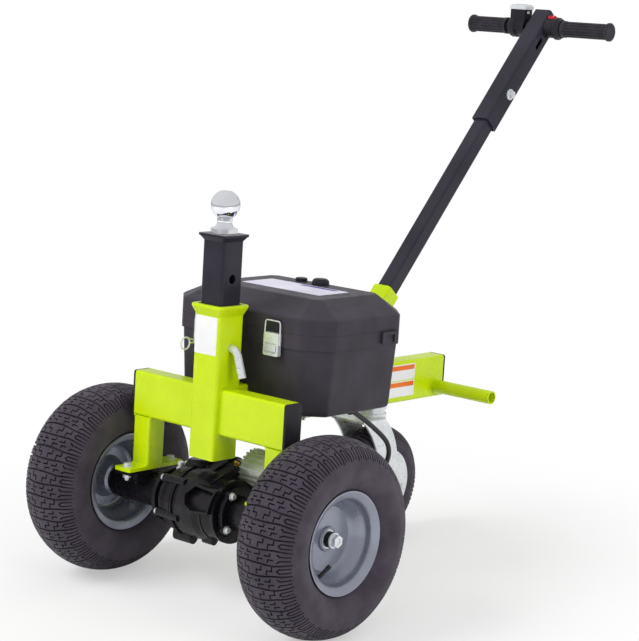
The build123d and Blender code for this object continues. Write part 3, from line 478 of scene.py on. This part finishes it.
def tread_cell(pitch, half, columns, rows, boxes):
    """One pitch as points, triangles with their level (1 in a groove), and the grooves' edges."""
    points = []
    edges = []
    for k in range(columns + 1):
        edges.append((len(points), len(points) + 1))
        points += [Vector((pitch * k / columns, -half)), Vector((pitch * k / columns, half))]
    for k in range(rows + 1):
        edges.append((len(points), len(points) + 1))
        v = half * (2 * k / rows - 1)
        points += [Vector((0, v)), Vector((pitch, v))]
    for box in boxes:
        edges += [(len(points) + k, len(points) + (k + 1) % 4) for k in range(4)]
        points += box
    spots, _, triangles, *_ = geometry.delaunay_2d_cdt(points, edges, [], 0, 1e-4)
    levels = {}
    sides = {}
    for triangle in triangles:
        middle = sum((spots[k] for k in triangle), Vector((0, 0))) / 3
        levels[tuple(triangle)] = int(any(covers(box, middle) for box in boxes))
        for start, end in zip(triangle, triangle[1:] + triangle[:1]):
            sides.setdefault(frozenset((start, end)), []).append(levels[tuple(triangle)])
    walls = [tuple(side) for side, both in sides.items() if len(both) == 2 and both[0] != both[1]]
    return spots, levels, walls


def turf_strokes(half):
    """The grooves in one pitch of 45 mm, which holds two bars and the grooves beside them."""
    groove_width = 3.5
    shoulder_width = 2.8
    slit_width = 2.6
    strokes = []
    for u, bend in ((11.25, 2.2), (33.75, -2.2)):
        groove = [(u, -half + 4), (u + bend, -38), (u, -13), (u, 13), (u + bend, 38), (u, half - 4)]
        strokes += stroke(groove, groove_width)
    for side in (-1, 1):
        for u, hook in ((3.75, 3), (18.75, 3), (26.25, -3), (41.25, -3)):
            shoulder = [(u, side * (half - 6)), (u, side * 49), (u + hook, side * 45)]
            strokes += stroke(shoulder, shoulder_width)
        for v in (8, 27):
            zigzag = [(16, side * v), (22.5, side * v), (22.5, side * (v + 9)), (29, side * (v + 9))]
            near_hook = [(7, side * (v + 5)), (3, side * (v + 5)), (3, side * (v - 4))]
            far_hook = [(38, side * (v + 2)), (42, side * (v + 2)), (42, side * (v + 11))]
            for slit in (zigzag, near_hook, far_hook):
                strokes += stroke(slit, slit_width)
    return strokes


def caster_strokes(half):
    """The grooves in one pitch of the caster's tyre: small blocks and a crooked middle groove."""
    middle_width = 2.2
    block_gap = 3.4
    strokes = stroke([(1.5, -3), (7.5, 3), (10.5, -3), (16.5, 3)], middle_width)
    for u, side in ((4.7, 1), (14.1, 1), (4.7, -1), (14.1, -1)):
        strokes += stroke([(u, side * 8), (u, side * (half - 2))], block_gap)
    return strokes


# %% [markdown]
# A tyre's section is two kinds of arc: a flat crown and rounder walls. The tread is wrapped
# over both, down to the line on the wall where it ends in a small step, and its grooves get
# shallower there. Below that line the wall is plain rubber as far as the rim, and behind the
# rim's flange the section closes along the inside, where nobody sees it.

# %% Tyres
def tyre_band(shoulder, crown_r, bulge, bead, edge_r):
    """Half the tread's width, a function from there to (x, radius, normal), and the plain wall.

    Each (x, radius) is measured from the wheel's middle, and the tread ends at radius edge_r.
    """
    rise = crown_r - shoulder[1]
    crown_arc = (shoulder[0] ** 2 + rise ** 2) / (2 * rise)
    crown_half = crown_arc * atan2(shoulder[0], crown_arc - rise)
    # The wall's arc is part of the circle through the shoulder, the bulge and the bead.
    (ax, ay), (bx, by), (cx, cy) = shoulder, bulge, bead
    twice = 2 * (ax * (by - cy) + bx * (cy - ay) + cx * (ay - by))
    sizes = [x * x + y * y for x, y in (shoulder, bulge, bead)]
    wall_x = (sizes[0] * (by - cy) + sizes[1] * (cy - ay) + sizes[2] * (ay - by)) / twice
    wall_z = (sizes[0] * (cx - bx) + sizes[1] * (ax - cx) + sizes[2] * (bx - ax)) / twice
    wall_arc = Vector((ax - wall_x, ay - wall_z)).length
    start = atan2(ay - wall_z, ax - wall_x)
    stop = asin((edge_r - wall_z) / wall_arc)
    half = crown_half + wall_arc * (start - stop)

    def section(v):
        """Where the skin is at v millimetres from the tread's middle, and which way it faces."""
        side = 1 if v >= 0 else -1
        if abs(v) <= crown_half:
            angle = pi / 2 - abs(v) / crown_arc
            x = crown_arc * cos(angle)
            r = crown_r - crown_arc + crown_arc * sin(angle)
        else:
            angle = start - (abs(v) - crown_half) / wall_arc
            x = wall_x + wall_arc * cos(angle)
            r = wall_z + wall_arc * sin(angle)
        return side * x, r, Vector((side * cos(angle), sin(angle)))

    wall = [(wall_x + wall_arc * cos(a), wall_z + wall_arc * sin(a)) for a in
            (stop - (stop - atan2(cy - wall_z, cx - wall_x)) * k / 9 for k in range(1, 10))]
    return half, section, wall


def tyre(name, node, body, centre, band, strokes, pitches, columns, rows, depth, step, inner):
    """A tyre with its tread wrapped round it. inner is the hidden half section, as (x, radius)."""
    half, section, wall = band
    crown_r = section(0)[1]
    pitch = 2 * pi * crown_r / pitches
    spots, levels, walls = tread_cell(pitch, half, columns, rows, strokes(half))
    edge_share = 0.2
    fade_width = 22
    points = []
    faces = []
    known = {}

    def on_ring(x, r, u):
        """A place on the tyre at x and radius r, u millimetres round the crown."""
        angle = u / crown_r
        return Vector((centre[0] + x, centre[1] + r * sin(angle), centre[2] + r * cos(angle)))

    def vertex(turn, k, level):
        """The number of a corner's point, which is made once and shared with its neighbours."""
        u = (turn * pitch + spots[k].x) % (pitches * pitch)
        v = spots[k].y
        if pitches * pitch - u < 0.01:
            u = 0.0
        key = (round(u, 2), round(v, 2), level)
        if key not in known:
            x, r, normal = section(v)
            sunk = depth * level * min(1.0, edge_share + (half - abs(v)) / fade_width)
            known[key] = len(points)
            points.append(on_ring(x - normal.x * sunk, r - normal.y * sunk, u))
        return known[key]

    for turn in range(pitches):
        for triangle, level in levels.items():
            faces.append(tuple(vertex(turn, k, level) for k in triangle))
        for a, b in walls:
            faces.append((vertex(turn, a, 0), vertex(turn, b, 0), vertex(turn, b, 1), vertex(turn, a, 1)))

    steps = [pitch * k / columns for k in range(pitches * columns)]
    plain = [(wall[0][0] - step, wall[0][1])] + wall[1:] + inner
    hidden = plain + [(-x, r) for x, r in reversed(plain)]
    rings = [[known[(round(u, 2), round(half, 2), 0)] for u in steps]]
    for x, r in hidden:
        rings.append(list(range(len(points), len(points) + len(steps))))
        points += [on_ring(x, r, u) for u in steps]
    rings.append([known[(round(u, 2), round(-half, 2), 0)] for u in steps])
    for near, far in zip(rings, rings[1:]):
        for j in range(len(steps)):
            after = (j + 1) % len(steps)
            faces.append((near[j], near[after], far[after], far[j]))
    made = piece(name, (points, faces), "vulcanised_tyre_rubber", body, sharp=40.0)
    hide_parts(node)


def chassis_place(joint):
    """A joint's place in the chassis's millimetres."""
    return chassis.inverted() @ Vector(joints[joint]["pos_m"])


# The middle of the right tyre's box, from metres to millimetres.
wheel_x = 500 * sum(corner[0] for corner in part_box("tyre_right"))
drive_band = tyre_band(
    shoulder=(45.1, 160), crown_r=172.0, bulge=(63.5, 126), bead=(49.53, 92.7), edge_r=140.0)
drive_inner = [(43, 88.7), (43, 76.3), (31, 76.3), (31, 84.3), (46, 110), (46, 140), (38, 152), (0.5, 158)]
for side, tag in ((-1, "left"), (1, "right")):
    tyre("turf_tyre_" + tag, "tyre_" + tag, "wheel_" + tag, (side * wheel_x, axle_y, axle_z),
         drive_band, turf_strokes, pitches=24, columns=5, rows=14, depth=6.0, step=1.2, inner=drive_inner)

caster_centre = chassis_place("caster_wheel_spin")
caster_band = tyre_band(
    shoulder=(23.76, 103), crown_r=111.0, bulge=(33, 77), bead=(21.78, 58), edge_r=90.0)
tyre("caster_block_tyre", "caster_tyre", "caster_wheel", caster_centre,
     caster_band, caster_strokes, pitches=36, columns=3, rows=10, depth=3.6, step=0.6,
     inner=[(20, 50), (0.5, 50)])
print("wheels at x", round(wheel_x, 1), "caster at", [round(v, 1) for v in caster_centre])

# %% [markdown]
# Steel on steel is held by hexagon bolts. Their heads are small, but each one catches a
# spark of light and throws a shadow, and without them the frame looks glued together. The
# foot plates are clamped to the axle by four of them, with a washer and a nut below, and the
# box is held to its brackets by four more, whose heads are inside under the batteries.

# %% Bolts of the frame
def nut_and_end(place, axis, across, bolt_r, washer_r=0.0):
    """A nut on its washer with the bolt's end standing out of it, along axis from place."""
    washer = 1.6
    height = 0.5 * across
    reach = height + washer + 0.35 * across
    end = turned([(0, bolt_r), (reach - 0.8, bolt_r), (reach, bolt_r - 0.8)], segments=16)
    nut = placed(bolt_head(across, height, washer_r), place, axis, spin=0.3)
    return merged([nut, placed(end, place, axis)])


up_axis = (0, 0, 1)
down_axis = (0, 0, -1)
front_axis = (0, -1, 0)
right_axis = (1, 0, 0)
left_axis = (-1, 0, 0)
plate_top = 217
flange_foot = 205
leg_x = 158
bolt_spread = 53.5
bracket_foot = 341.7
bracket_bolt_x = 100
bracket_ys = (119.5, 225)
bolt_across = 13
bolt_r = 4
washer_r = 9
frame_bolts = []
for side in (-1, 1):
    for offset in (-bolt_spread, bolt_spread):
        x = side * leg_x
        y = axle_y + offset
        head = bolt_head(bolt_across, 5.3, washer_r)
        frame_bolts.append(placed(head, (x, y, plate_top), up_axis, spin=0.2))
        frame_bolts.append(nut_and_end((x, y, flange_foot), down_axis, bolt_across, bolt_r, washer_r))
    for y in bracket_ys:
        place = (side * bracket_bolt_x, y, bracket_foot)
        frame_bolts.append(nut_and_end(place, down_axis, bolt_across, bolt_r, washer_r))
piece("frame_bolts", merged(frame_bolts), "bright_zinc_plating")
print("frame bolts", len(frame_bolts))

# %% [markdown]
# The tubes are welded, and a weld is never a clean line: the welder's hand pauses and moves
# on, so the bead is a row of overlapping drops about five millimetres apart. A ring swept
# along the joint whose size swells and shrinks by a cosine gives those drops, and the paint
# over them is the tubes' own.

# %% Welds
def weld_bead(corners, size=2.4, closed=True):
    """A bead along straight runs between corners, which swells once every drop."""
    drop = 5.2
    ring_gap = 1.3
    corners = [Vector(corner) for corner in corners]
    path = []
    for start, end in zip(corners, corners[1:] + corners[:1] if closed else corners[1:]):
        count = max(1, round((end - start).length / ring_gap))
        path += [start.lerp(end, k / count) for k in range(count)]
    if not closed:
        path.append(corners[-1])
    return along(path, lambda travelled: size * (0.84 + 0.16 * cos(2 * pi * travelled / drop)), 8, closed)


tube_half = 20
cross_low = 305
cross_high = 385
sleeve_half = 30
step_y = 594
step_z = 327
step_r = 12.7
socket_half = 17
socket_front = 309
socket_rear = 361.8
proud = 0.4
welds = []
for side in (-1, 1):
    x = side * (sleeve_half + proud)
    welds.append(weld_bead([
        (x, -tube_half, cross_low + 3), (x, -tube_half, cross_high), (x, tube_half, cross_high),
        (x, tube_half, cross_low + 3)]))
    for y in (-tube_half, tube_half):
        ends = [(side * (leg_x + end), y, plate_top + proud) for end in (-18, 18)]
        welds.append(weld_bead(ends, closed=False))
    for edge in (-19.8, 19.8):
        across = [(side * (leg_x + edge), y, cross_low) for y in (-18, 18)]
        welds.append(weld_bead(across, size=2.0, closed=False))
    round_step = circle(side * (tube_half + proud), step_r + proud, segments=20)
    welds.append(weld_bead([point + Vector((0, step_y, step_z)) for point in round_step], size=2.0))
    seam = [(side * tube_half, socket_front, cross_high), (side * tube_half, socket_rear, cross_high)]
    welds.append(weld_bead(seam, size=1.6, closed=False))
for y in (socket_front, socket_rear):
    welds.append(weld_bead([(-socket_half, y, cross_high), (socket_half, y, cross_high)], closed=False))
rear = sleeve_half + proud
corner = tube_half - 3
welds.append(weld_bead([
    (-tube_half, rear, cross_low + 3), (-tube_half, rear, cross_high - 3), (-corner, rear, cross_high),
    (corner, rear, cross_high), (tube_half, rear, cross_high - 3), (tube_half, rear, cross_low + 3),
    (corner, rear, cross_low), (-corner, rear, cross_low)]))
piece("frame_welds", merged(welds), "lime_gloss_powder_coat", sharp=60.0)
print("weld beads", len(welds))

# %% [markdown]
# Vinyl labels sit on the sleeve, the beam and the lid. They are left blank here. A label is
# only two tenths of a millimetre thick, but its cut edge and its rounded corners still show
# that it was stuck on, so each is a thin plate and not a patch of colour in the paint.

# %% Blank labels
def label_plate(width, height, corner, thickness=0.2):
    """A plate with rounded corners. Its face is thickness over x = 0 and its back is sunk below."""
    ring = []
    for y_side, z_side, start in ((1, 1, 0), (-1, 1, 90), (-1, -1, 180), (1, -1, 270)):
        for k in range(5):
            angle = radians(start + 22.5 * k)
            y = y_side * (width / 2 - corner) + corner * cos(angle)
            z = z_side * (height / 2 - corner) + corner * sin(angle)
            ring.append((y, z))
    return lofted([[Vector((x, y, z)) for y, z in ring] for x in (-0.1, thickness)])


sleeve_plate = label_plate(width=51, height=66, corner=2)
sleeve_label = placed(sleeve_plate, (-1.5, -sleeve_half, 476), front_axis)
piece("sleeve_label", sleeve_label, "white_vinyl_label")
beam_label_y = 492
beam_label = label_plate(width=76, height=30, corner=1.5)
beam_stripe = label_plate(width=72, height=9, corner=0.6, thickness=0.3)
beam_labels = []
beam_stripes = []
for foot in (316, 348):
    beam_labels.append(placed(beam_label, (tube_half, beam_label_y, foot + 15), right_axis))
    beam_stripes.append(placed(beam_stripe, (tube_half, beam_label_y, foot + 23.5), right_axis))
piece("beam_labels", merged(beam_labels), "white_vinyl_label")
piece("beam_label_stripes", merged(beam_stripes), "orange_vinyl_stripe")
lid_top = 545
lid_label = placed(label_plate(width=82, height=184, corner=3), (0.5, 190.5, lid_top), up_axis)
piece("lid_label", lid_label, "lilac_vinyl_label", "lid")
stripe_plate = label_plate(width=12, height=84, corner=2, thickness=0.3)
lid_stripe = placed(stripe_plate, (30, 222, lid_top), up_axis)
piece("lid_label_stripe", lid_stripe, "violet_vinyl_stripe", "lid")

# %% [markdown]
# The gear case is closed by screws through bosses round its seam, and by four more in the
# ears of its right flange. A breather plug on top lets warm air out. Two brass
# connectors sit where the motor meets the case, the only warm metal on the machine.

# %% Screws and fittings of the axle
seam_x = -74
seam_screw_r = 59
seam_angles = (44, 104, 164, 224, -18)
flange_x = 70
flange_screw_r = 41
case_screws = []
for angle in seam_angles:
    turn = radians(angle)
    place = (seam_x, axle_y - seam_screw_r * cos(turn), axle_z + seam_screw_r * sin(turn))
    head = bolt_head(10, 5, washer_r=6.6, washer=1.2)
    case_screws.append(placed(head, place, left_axis, spin=turn))
for k in range(4):
    turn = radians(35 + 90 * k)
    place = (flange_x, axle_y + flange_screw_r * cos(turn), axle_z + flange_screw_r * sin(turn))
    head = bolt_head(10, 5, washer_r=7.4, washer=1.2)
    case_screws.append(placed(head, place, right_axis, spin=turn))
piece("gear_case_screws", merged(case_screws), "bright_zinc_plating")

breather = merged([
    bolt_head(14, 6, washer_r=8.5, washer=1.2),
    turned([(6, 4.2), (10, 4.2), (10.5, 6.2), (15, 6.2), (16.5, 4.8)])])
piece("breather_plug", placed(breather, (-82, 8, 217), up_axis), "bright_zinc_plating")

connector = merged([bolt_head(9, 5), turned([(5, 3.2), (10, 3.2), (10.6, 2.4)], segments=16)])
on_pinion_case = placed(connector, (20, 45.4, 241.4), (0, -0.65, 0.76))
on_motor_cover = placed(connector, (119, 42, 222), (0.3, -0.95, 0))
piece("brass_connectors", merged([on_pinion_case, on_motor_cover]), "turned_brass")

# %% [markdown]
# A wheel's valve stem is a rubber tube that is pulled through the rim from inside, so it
# leans out of the bowl towards the hub. A black ring covers the half shaft behind the nut's
# flange, so that the shaft is dark there.

# %% Valve stems and black shaft rings
stem_root = Vector((25, -40.3, -60))
stem_tip = Vector((41, -26, -34.7))
stem_length = (stem_tip - stem_root).length
stem = turned([
    (-2, 5.2), (3, 5.2), (5, 3.9), (stem_length - 9, 3.4), (stem_length - 8.6, 4.2),
    (stem_length - 1, 4.0), (stem_length, 3.2)], segments=16)
# A black ring makes the half shaft dark behind the nut's flange.
sleeve_start = 12.4
sleeve_end = 22.2
sleeve_r = 13.6
sleeve_bore = 12.2
sleeve_corners = [
    (sleeve_start, sleeve_r), (sleeve_end, sleeve_r), (sleeve_end, sleeve_bore), (sleeve_start, sleeve_bore)]
black_shaft_ring = lofted([circle(x, radius) for x, radius in sleeve_corners], closed=True)
for side, tag in ((-1, "left"), (1, "right")):
    root = Vector((side * (wheel_x + stem_root.x), axle_y + stem_root.y, axle_z + stem_root.z))
    heading = stem_tip - stem_root
    heading.x *= side
    wheel_stem = placed(stem, root, heading)
    piece("valve_stem_" + tag, wheel_stem, "moulded_grip_rubber", "wheel_" + tag)
    wheel_sleeve = placed(black_shaft_ring, (side * wheel_x, axle_y, axle_z), (side, 0, 0))
    piece("black_shaft_ring_" + tag, wheel_sleeve, "moulded_black_abs", "wheel_" + tag)

# %% [markdown]
# Small hardware finishes the box, the caster and the handle. The latches are pressed, so
# each plate carries a ribbed lever and two rivets, and its wire reaches over a black catch on
# the lid. The battery's terminals are brass-coloured bolts on lead posts. The gauge has a dark
# window in its pale cap, which is left without figures.

# %% Small hardware
latch_x = 83
latch_front = 42.2
lever_half = 12
rib_half = 9
rib_zs = (456.5, 460, 463.5)
rivet_spread = 10
rivet_z = 479
lever_side = [
    (latch_front + 1.2, 453), (latch_front - 1.2, 455), (latch_front - 1.4, 465), (latch_front + 1.2, 468)]
rivet = turned([(-0.5, 2.6), (0.5, 2.6), (1.2, 1.8), (1.5, 0.6)], segments=16)
latch_parts = []
for x in (-latch_x, latch_x):
    lever = [[Vector((edge, y, z)) for y, z in lever_side] for edge in (x - lever_half, x + lever_half)]
    latch_parts.append(lofted(lever))
    for z in rib_zs:
        low = (x - rib_half, latch_front - 2.2, z - 0.7)
        high = (x + rib_half, latch_front - 1, z + 0.7)
        latch_parts.append(box_shape(low, high))
    for offset in (-rivet_spread, rivet_spread):
        latch_parts.append(placed(rivet, (x + offset, latch_front, rivet_z), front_axis))
piece("latch_levers", merged(latch_parts), "bright_zinc_plating")

catch_front = 48.3
catch_half = 12.5
catch_low = 491
catch_high = 510
catches = []
for x in (-latch_x, latch_x):
    low = (x - catch_half, catch_front - 1, catch_low)
    high = (x + catch_half, catch_front + 0.1, catch_high)
    catches.append(box_shape(low, high))
piece("latch_catches", merged(catches), "moulded_black_abs", "lid")

post_x = 48
post_ys = (116, 231)
post_top = 450
terminal = bolt_head(10, 4, washer_r=7.5, washer=1.2)
terminals = []
for x in (-post_x, post_x):
    for y in post_ys:
        terminals.append(placed(terminal, (x, y, post_top), up_axis, spin=0.4))
piece("battery_terminals", merged(terminals), "turned_brass")

fork_half = 40
fork_screw_y = 486
fork_screw_z = 147
fork_screw = bolt_head(8, 3.5, washer_r=5.5, washer=1.0)
fork_screws = [
    placed(fork_screw, (fork_half, fork_screw_y, fork_screw_z), right_axis),
    placed(fork_screw, (-fork_half, fork_screw_y, fork_screw_z), left_axis)]
piece("fork_screws", merged(fork_screws), "bright_zinc_plating", "caster_swivel")
fork_stop = placed(bolt_head(9, 5, washer_r=6.5, washer=1.2), (-36, 400, 272), right_axis)
piece("fork_stop_screw", fork_stop, "turned_brass", "caster_swivel")

bar_y = 886.6
bar_z = 1024.6
gauge_x = -48
gauge_top = bar_z + 44
window_plate = label_plate(width=13, height=20, corner=2, thickness=0.4)
window = placed(window_plate, (gauge_x, bar_y, gauge_top), up_axis)
piece("gauge_window", window, "moulded_black_abs")
small_screw = bolt_head(5, 1.6, washer_r=3.4, washer=0.6)
gauge_screw = placed(small_screw, (-30, bar_y - 2, bar_z + 28), right_axis)
piece("gauge_screw", gauge_screw, "bright_zinc_plating")

# %% [markdown]
# The motor's lead is one rubbery cable that leaves a gland in the box's floor, loops back
# behind the axle and enters the motor's end cover. A NURBS spline through listed points
# hangs like a cable, because it never turns sharply. Its weight is carried at both ends.

# %% The motor's lead
lead_diameter = 0.009
lead_route = [
    (130, 212, 341), (131, 231, 331), (132, 254, 317), (134, 278, 300.5), (136, 301, 283),
    (137.5, 314, 269), (138, 319, 251.5), (137, 315, 234), (135, 303.5, 220.5), (133, 287, 213),
    (130, 266, 210), (127, 242, 209.5), (124, 214, 211.5), (121, 185, 218.5), (119, 156, 232),
    (119, 128, 232)]


def route_curve(name, points, radius_mm):
    """A round cable along listed points, given in the chassis's millimetres."""
    data = bpy.data.curves.new(name, "CURVE")
    data.dimensions = "3D"
    data.bevel_depth = radius_mm / 1000
    data.bevel_resolution = 6
    data.use_fill_caps = True
    data.resolution_u = 8
    spline = data.splines.new("NURBS")
    spline.points.add(len(points) - 1)
    for point, place in zip(spline.points, points):
        point.co = (*(chassis @ Vector(place)), 1.0)
    spline.order_u = 3
    spline.use_endpoint_u = True
    curve = bpy.data.objects.new(name, data)
    scene.collection.objects.link(curve)
    return curve


lead = route_curve("motor_lead", lead_route, lead_diameter * 500)
lead.data.materials.append(finishes["pvc_cable_jacket"])
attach(lead, "chassis")
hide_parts("motor_cable")
spans = [(Vector(after) - Vector(before)).length for before, after in zip(lead_route, lead_route[1:])]
print("lead from point to point", round(sum(spans), 1), "mm")

# %% [markdown]
# The hitch pin is kept by an R-clip. Its straight leg goes through the pin, and its second
# leg is sprung: it leaves the loop's top, dips, and rides over the pin with a hump that
# snaps home. The hump is drawn as a spline too, in wire three millimetres thick.

# %% The clip's sprung leg
clip_x = -46
wire_r = 1.5
leg_line = [
    (-34, 465.5), (-28, 465), (-22, 461.8), (-14, 459.6), (-7, 462), (0, 464.6), (7, 462.4),
    (13, 460), (18, 461.6)]
sprung_leg = route_curve("pin_clip_leg", [(clip_x, y, z) for y, z in leg_line], wire_r)
sprung_leg.data.materials.append(finishes["bright_zinc_plating"])
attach(sprung_leg, "chassis")
print("sprung leg points", len(leg_line))

# %% [markdown]
# A product portrait stands on a pale sweep under soft boxes. The world gives an even fill,
# and mirrored rays see a brighter white room. A large lamp from the front left shapes the
# sleeve, one from the right lifts the box's side and the wheels, and one behind parts the
# handle from the white. The floor turns from paper near the dolly, where it keeps a soft
# shadow, to pure white further off, so that the picture has no horizon.

# %% Stage and light
floor_size = 30.0
floor_mesh = bpy.data.meshes.new("studio_floor")
floor_corners = [(x * floor_size, y * floor_size, 0) for x, y in ((-1, -1), (1, -1), (1, 1), (-1, 1))]
floor_mesh.from_pydata(floor_corners, [], [(0, 1, 2, 3)])
floor = bpy.data.objects.new("studio_floor", floor_mesh)
scene.collection.objects.link(floor)

paper = bpy.data.materials.new("matt_white_paper")
paper.use_nodes = True
tree = paper.node_tree
tree.nodes.remove(tree.nodes["Principled BSDF"])
place = add(tree, "ShaderNodeTexCoord").outputs["Object"]
near = add(tree, "ShaderNodeVectorMath", {0: place, 1: (0.0, -0.25, 0.0)}, operation="DISTANCE")
share = add(tree, "ShaderNodeMapRange", {
    "Value": near.outputs["Value"], "From Min": 0.45, "From Max": 0.95, "To Min": 0.45, "To Max": 1.0})
diffuse = add(tree, "ShaderNodeBsdfDiffuse", {"Color": linear("#F1F1F1")})
glow = add(tree, "ShaderNodeEmission", {"Color": (1, 1, 1, 1), "Strength": 1.0})
ray = add(tree, "ShaderNodeLightPath")
shown = add(tree, "ShaderNodeMath", {
    0: ray.outputs["Is Camera Ray"], 1: share.outputs["Result"]}, operation="MULTIPLY")
mix = add(tree, "ShaderNodeMixShader", {0: shown.outputs[0], 1: diffuse.outputs[0], 2: glow.outputs[0]})
tree.links.new(mix.outputs[0], tree.nodes["Material Output"].inputs["Surface"])
floor_mesh.materials.append(paper)

world = bpy.data.worlds.new("studio_fill")
world.use_nodes = True
scene.world = world
tree = world.node_tree
fill = add(tree, "ShaderNodeBackground", {"Color": (1, 1, 1, 1), "Strength": 0.5})
mirrored = add(tree, "ShaderNodeBackground", {"Color": (1, 1, 1, 1), "Strength": 0.7})
white = add(tree, "ShaderNodeBackground", {"Color": (1, 1, 1, 1), "Strength": 1.0})
ray = add(tree, "ShaderNodeLightPath")
plain = add(tree, "ShaderNodeMixShader", {
    0: ray.outputs["Is Glossy Ray"], 1: fill.outputs[0], 2: mirrored.outputs[0]})
seen = add(tree, "ShaderNodeMath", {
    0: ray.outputs["Is Camera Ray"], 1: ray.outputs["Is Transmission Ray"]}, operation="MAXIMUM")
mix = add(tree, "ShaderNodeMixShader", {0: seen.outputs[0], 1: plain.outputs[0], 2: white.outputs[0]})
tree.links.new(mix.outputs[0], tree.nodes["World Output"].inputs["Surface"])


dolly_middle = Vector((0, 0, 0.35))


def soft_box(name, place, width, watts):
    """A square lamp that looks at the dolly's middle."""
    data = bpy.data.lights.new(name, "AREA")
    data.shape = "SQUARE"
    data.size = width
    data.energy = watts
    lamp = bpy.data.objects.new(name, data)
    lamp.visible_glossy = False
    aim = dolly_middle - Vector(place)
    lamp.matrix_world = Matrix.Translation(place) @ aim.to_track_quat("-Z", "Y").to_matrix().to_4x4()
    scene.collection.objects.link(lamp)
    print(name, watts, "W")


soft_box("soft_box_left", (-1.6, -3.0, 3.2), 2.2, 118)
soft_box("soft_box_right", (3.4, -0.6, 1.8), 1.6, 46)
soft_box("soft_box_rear", (0.6, 3.2, 2.6), 2.0, 40)

scene.view_settings.view_transform = "Standard"
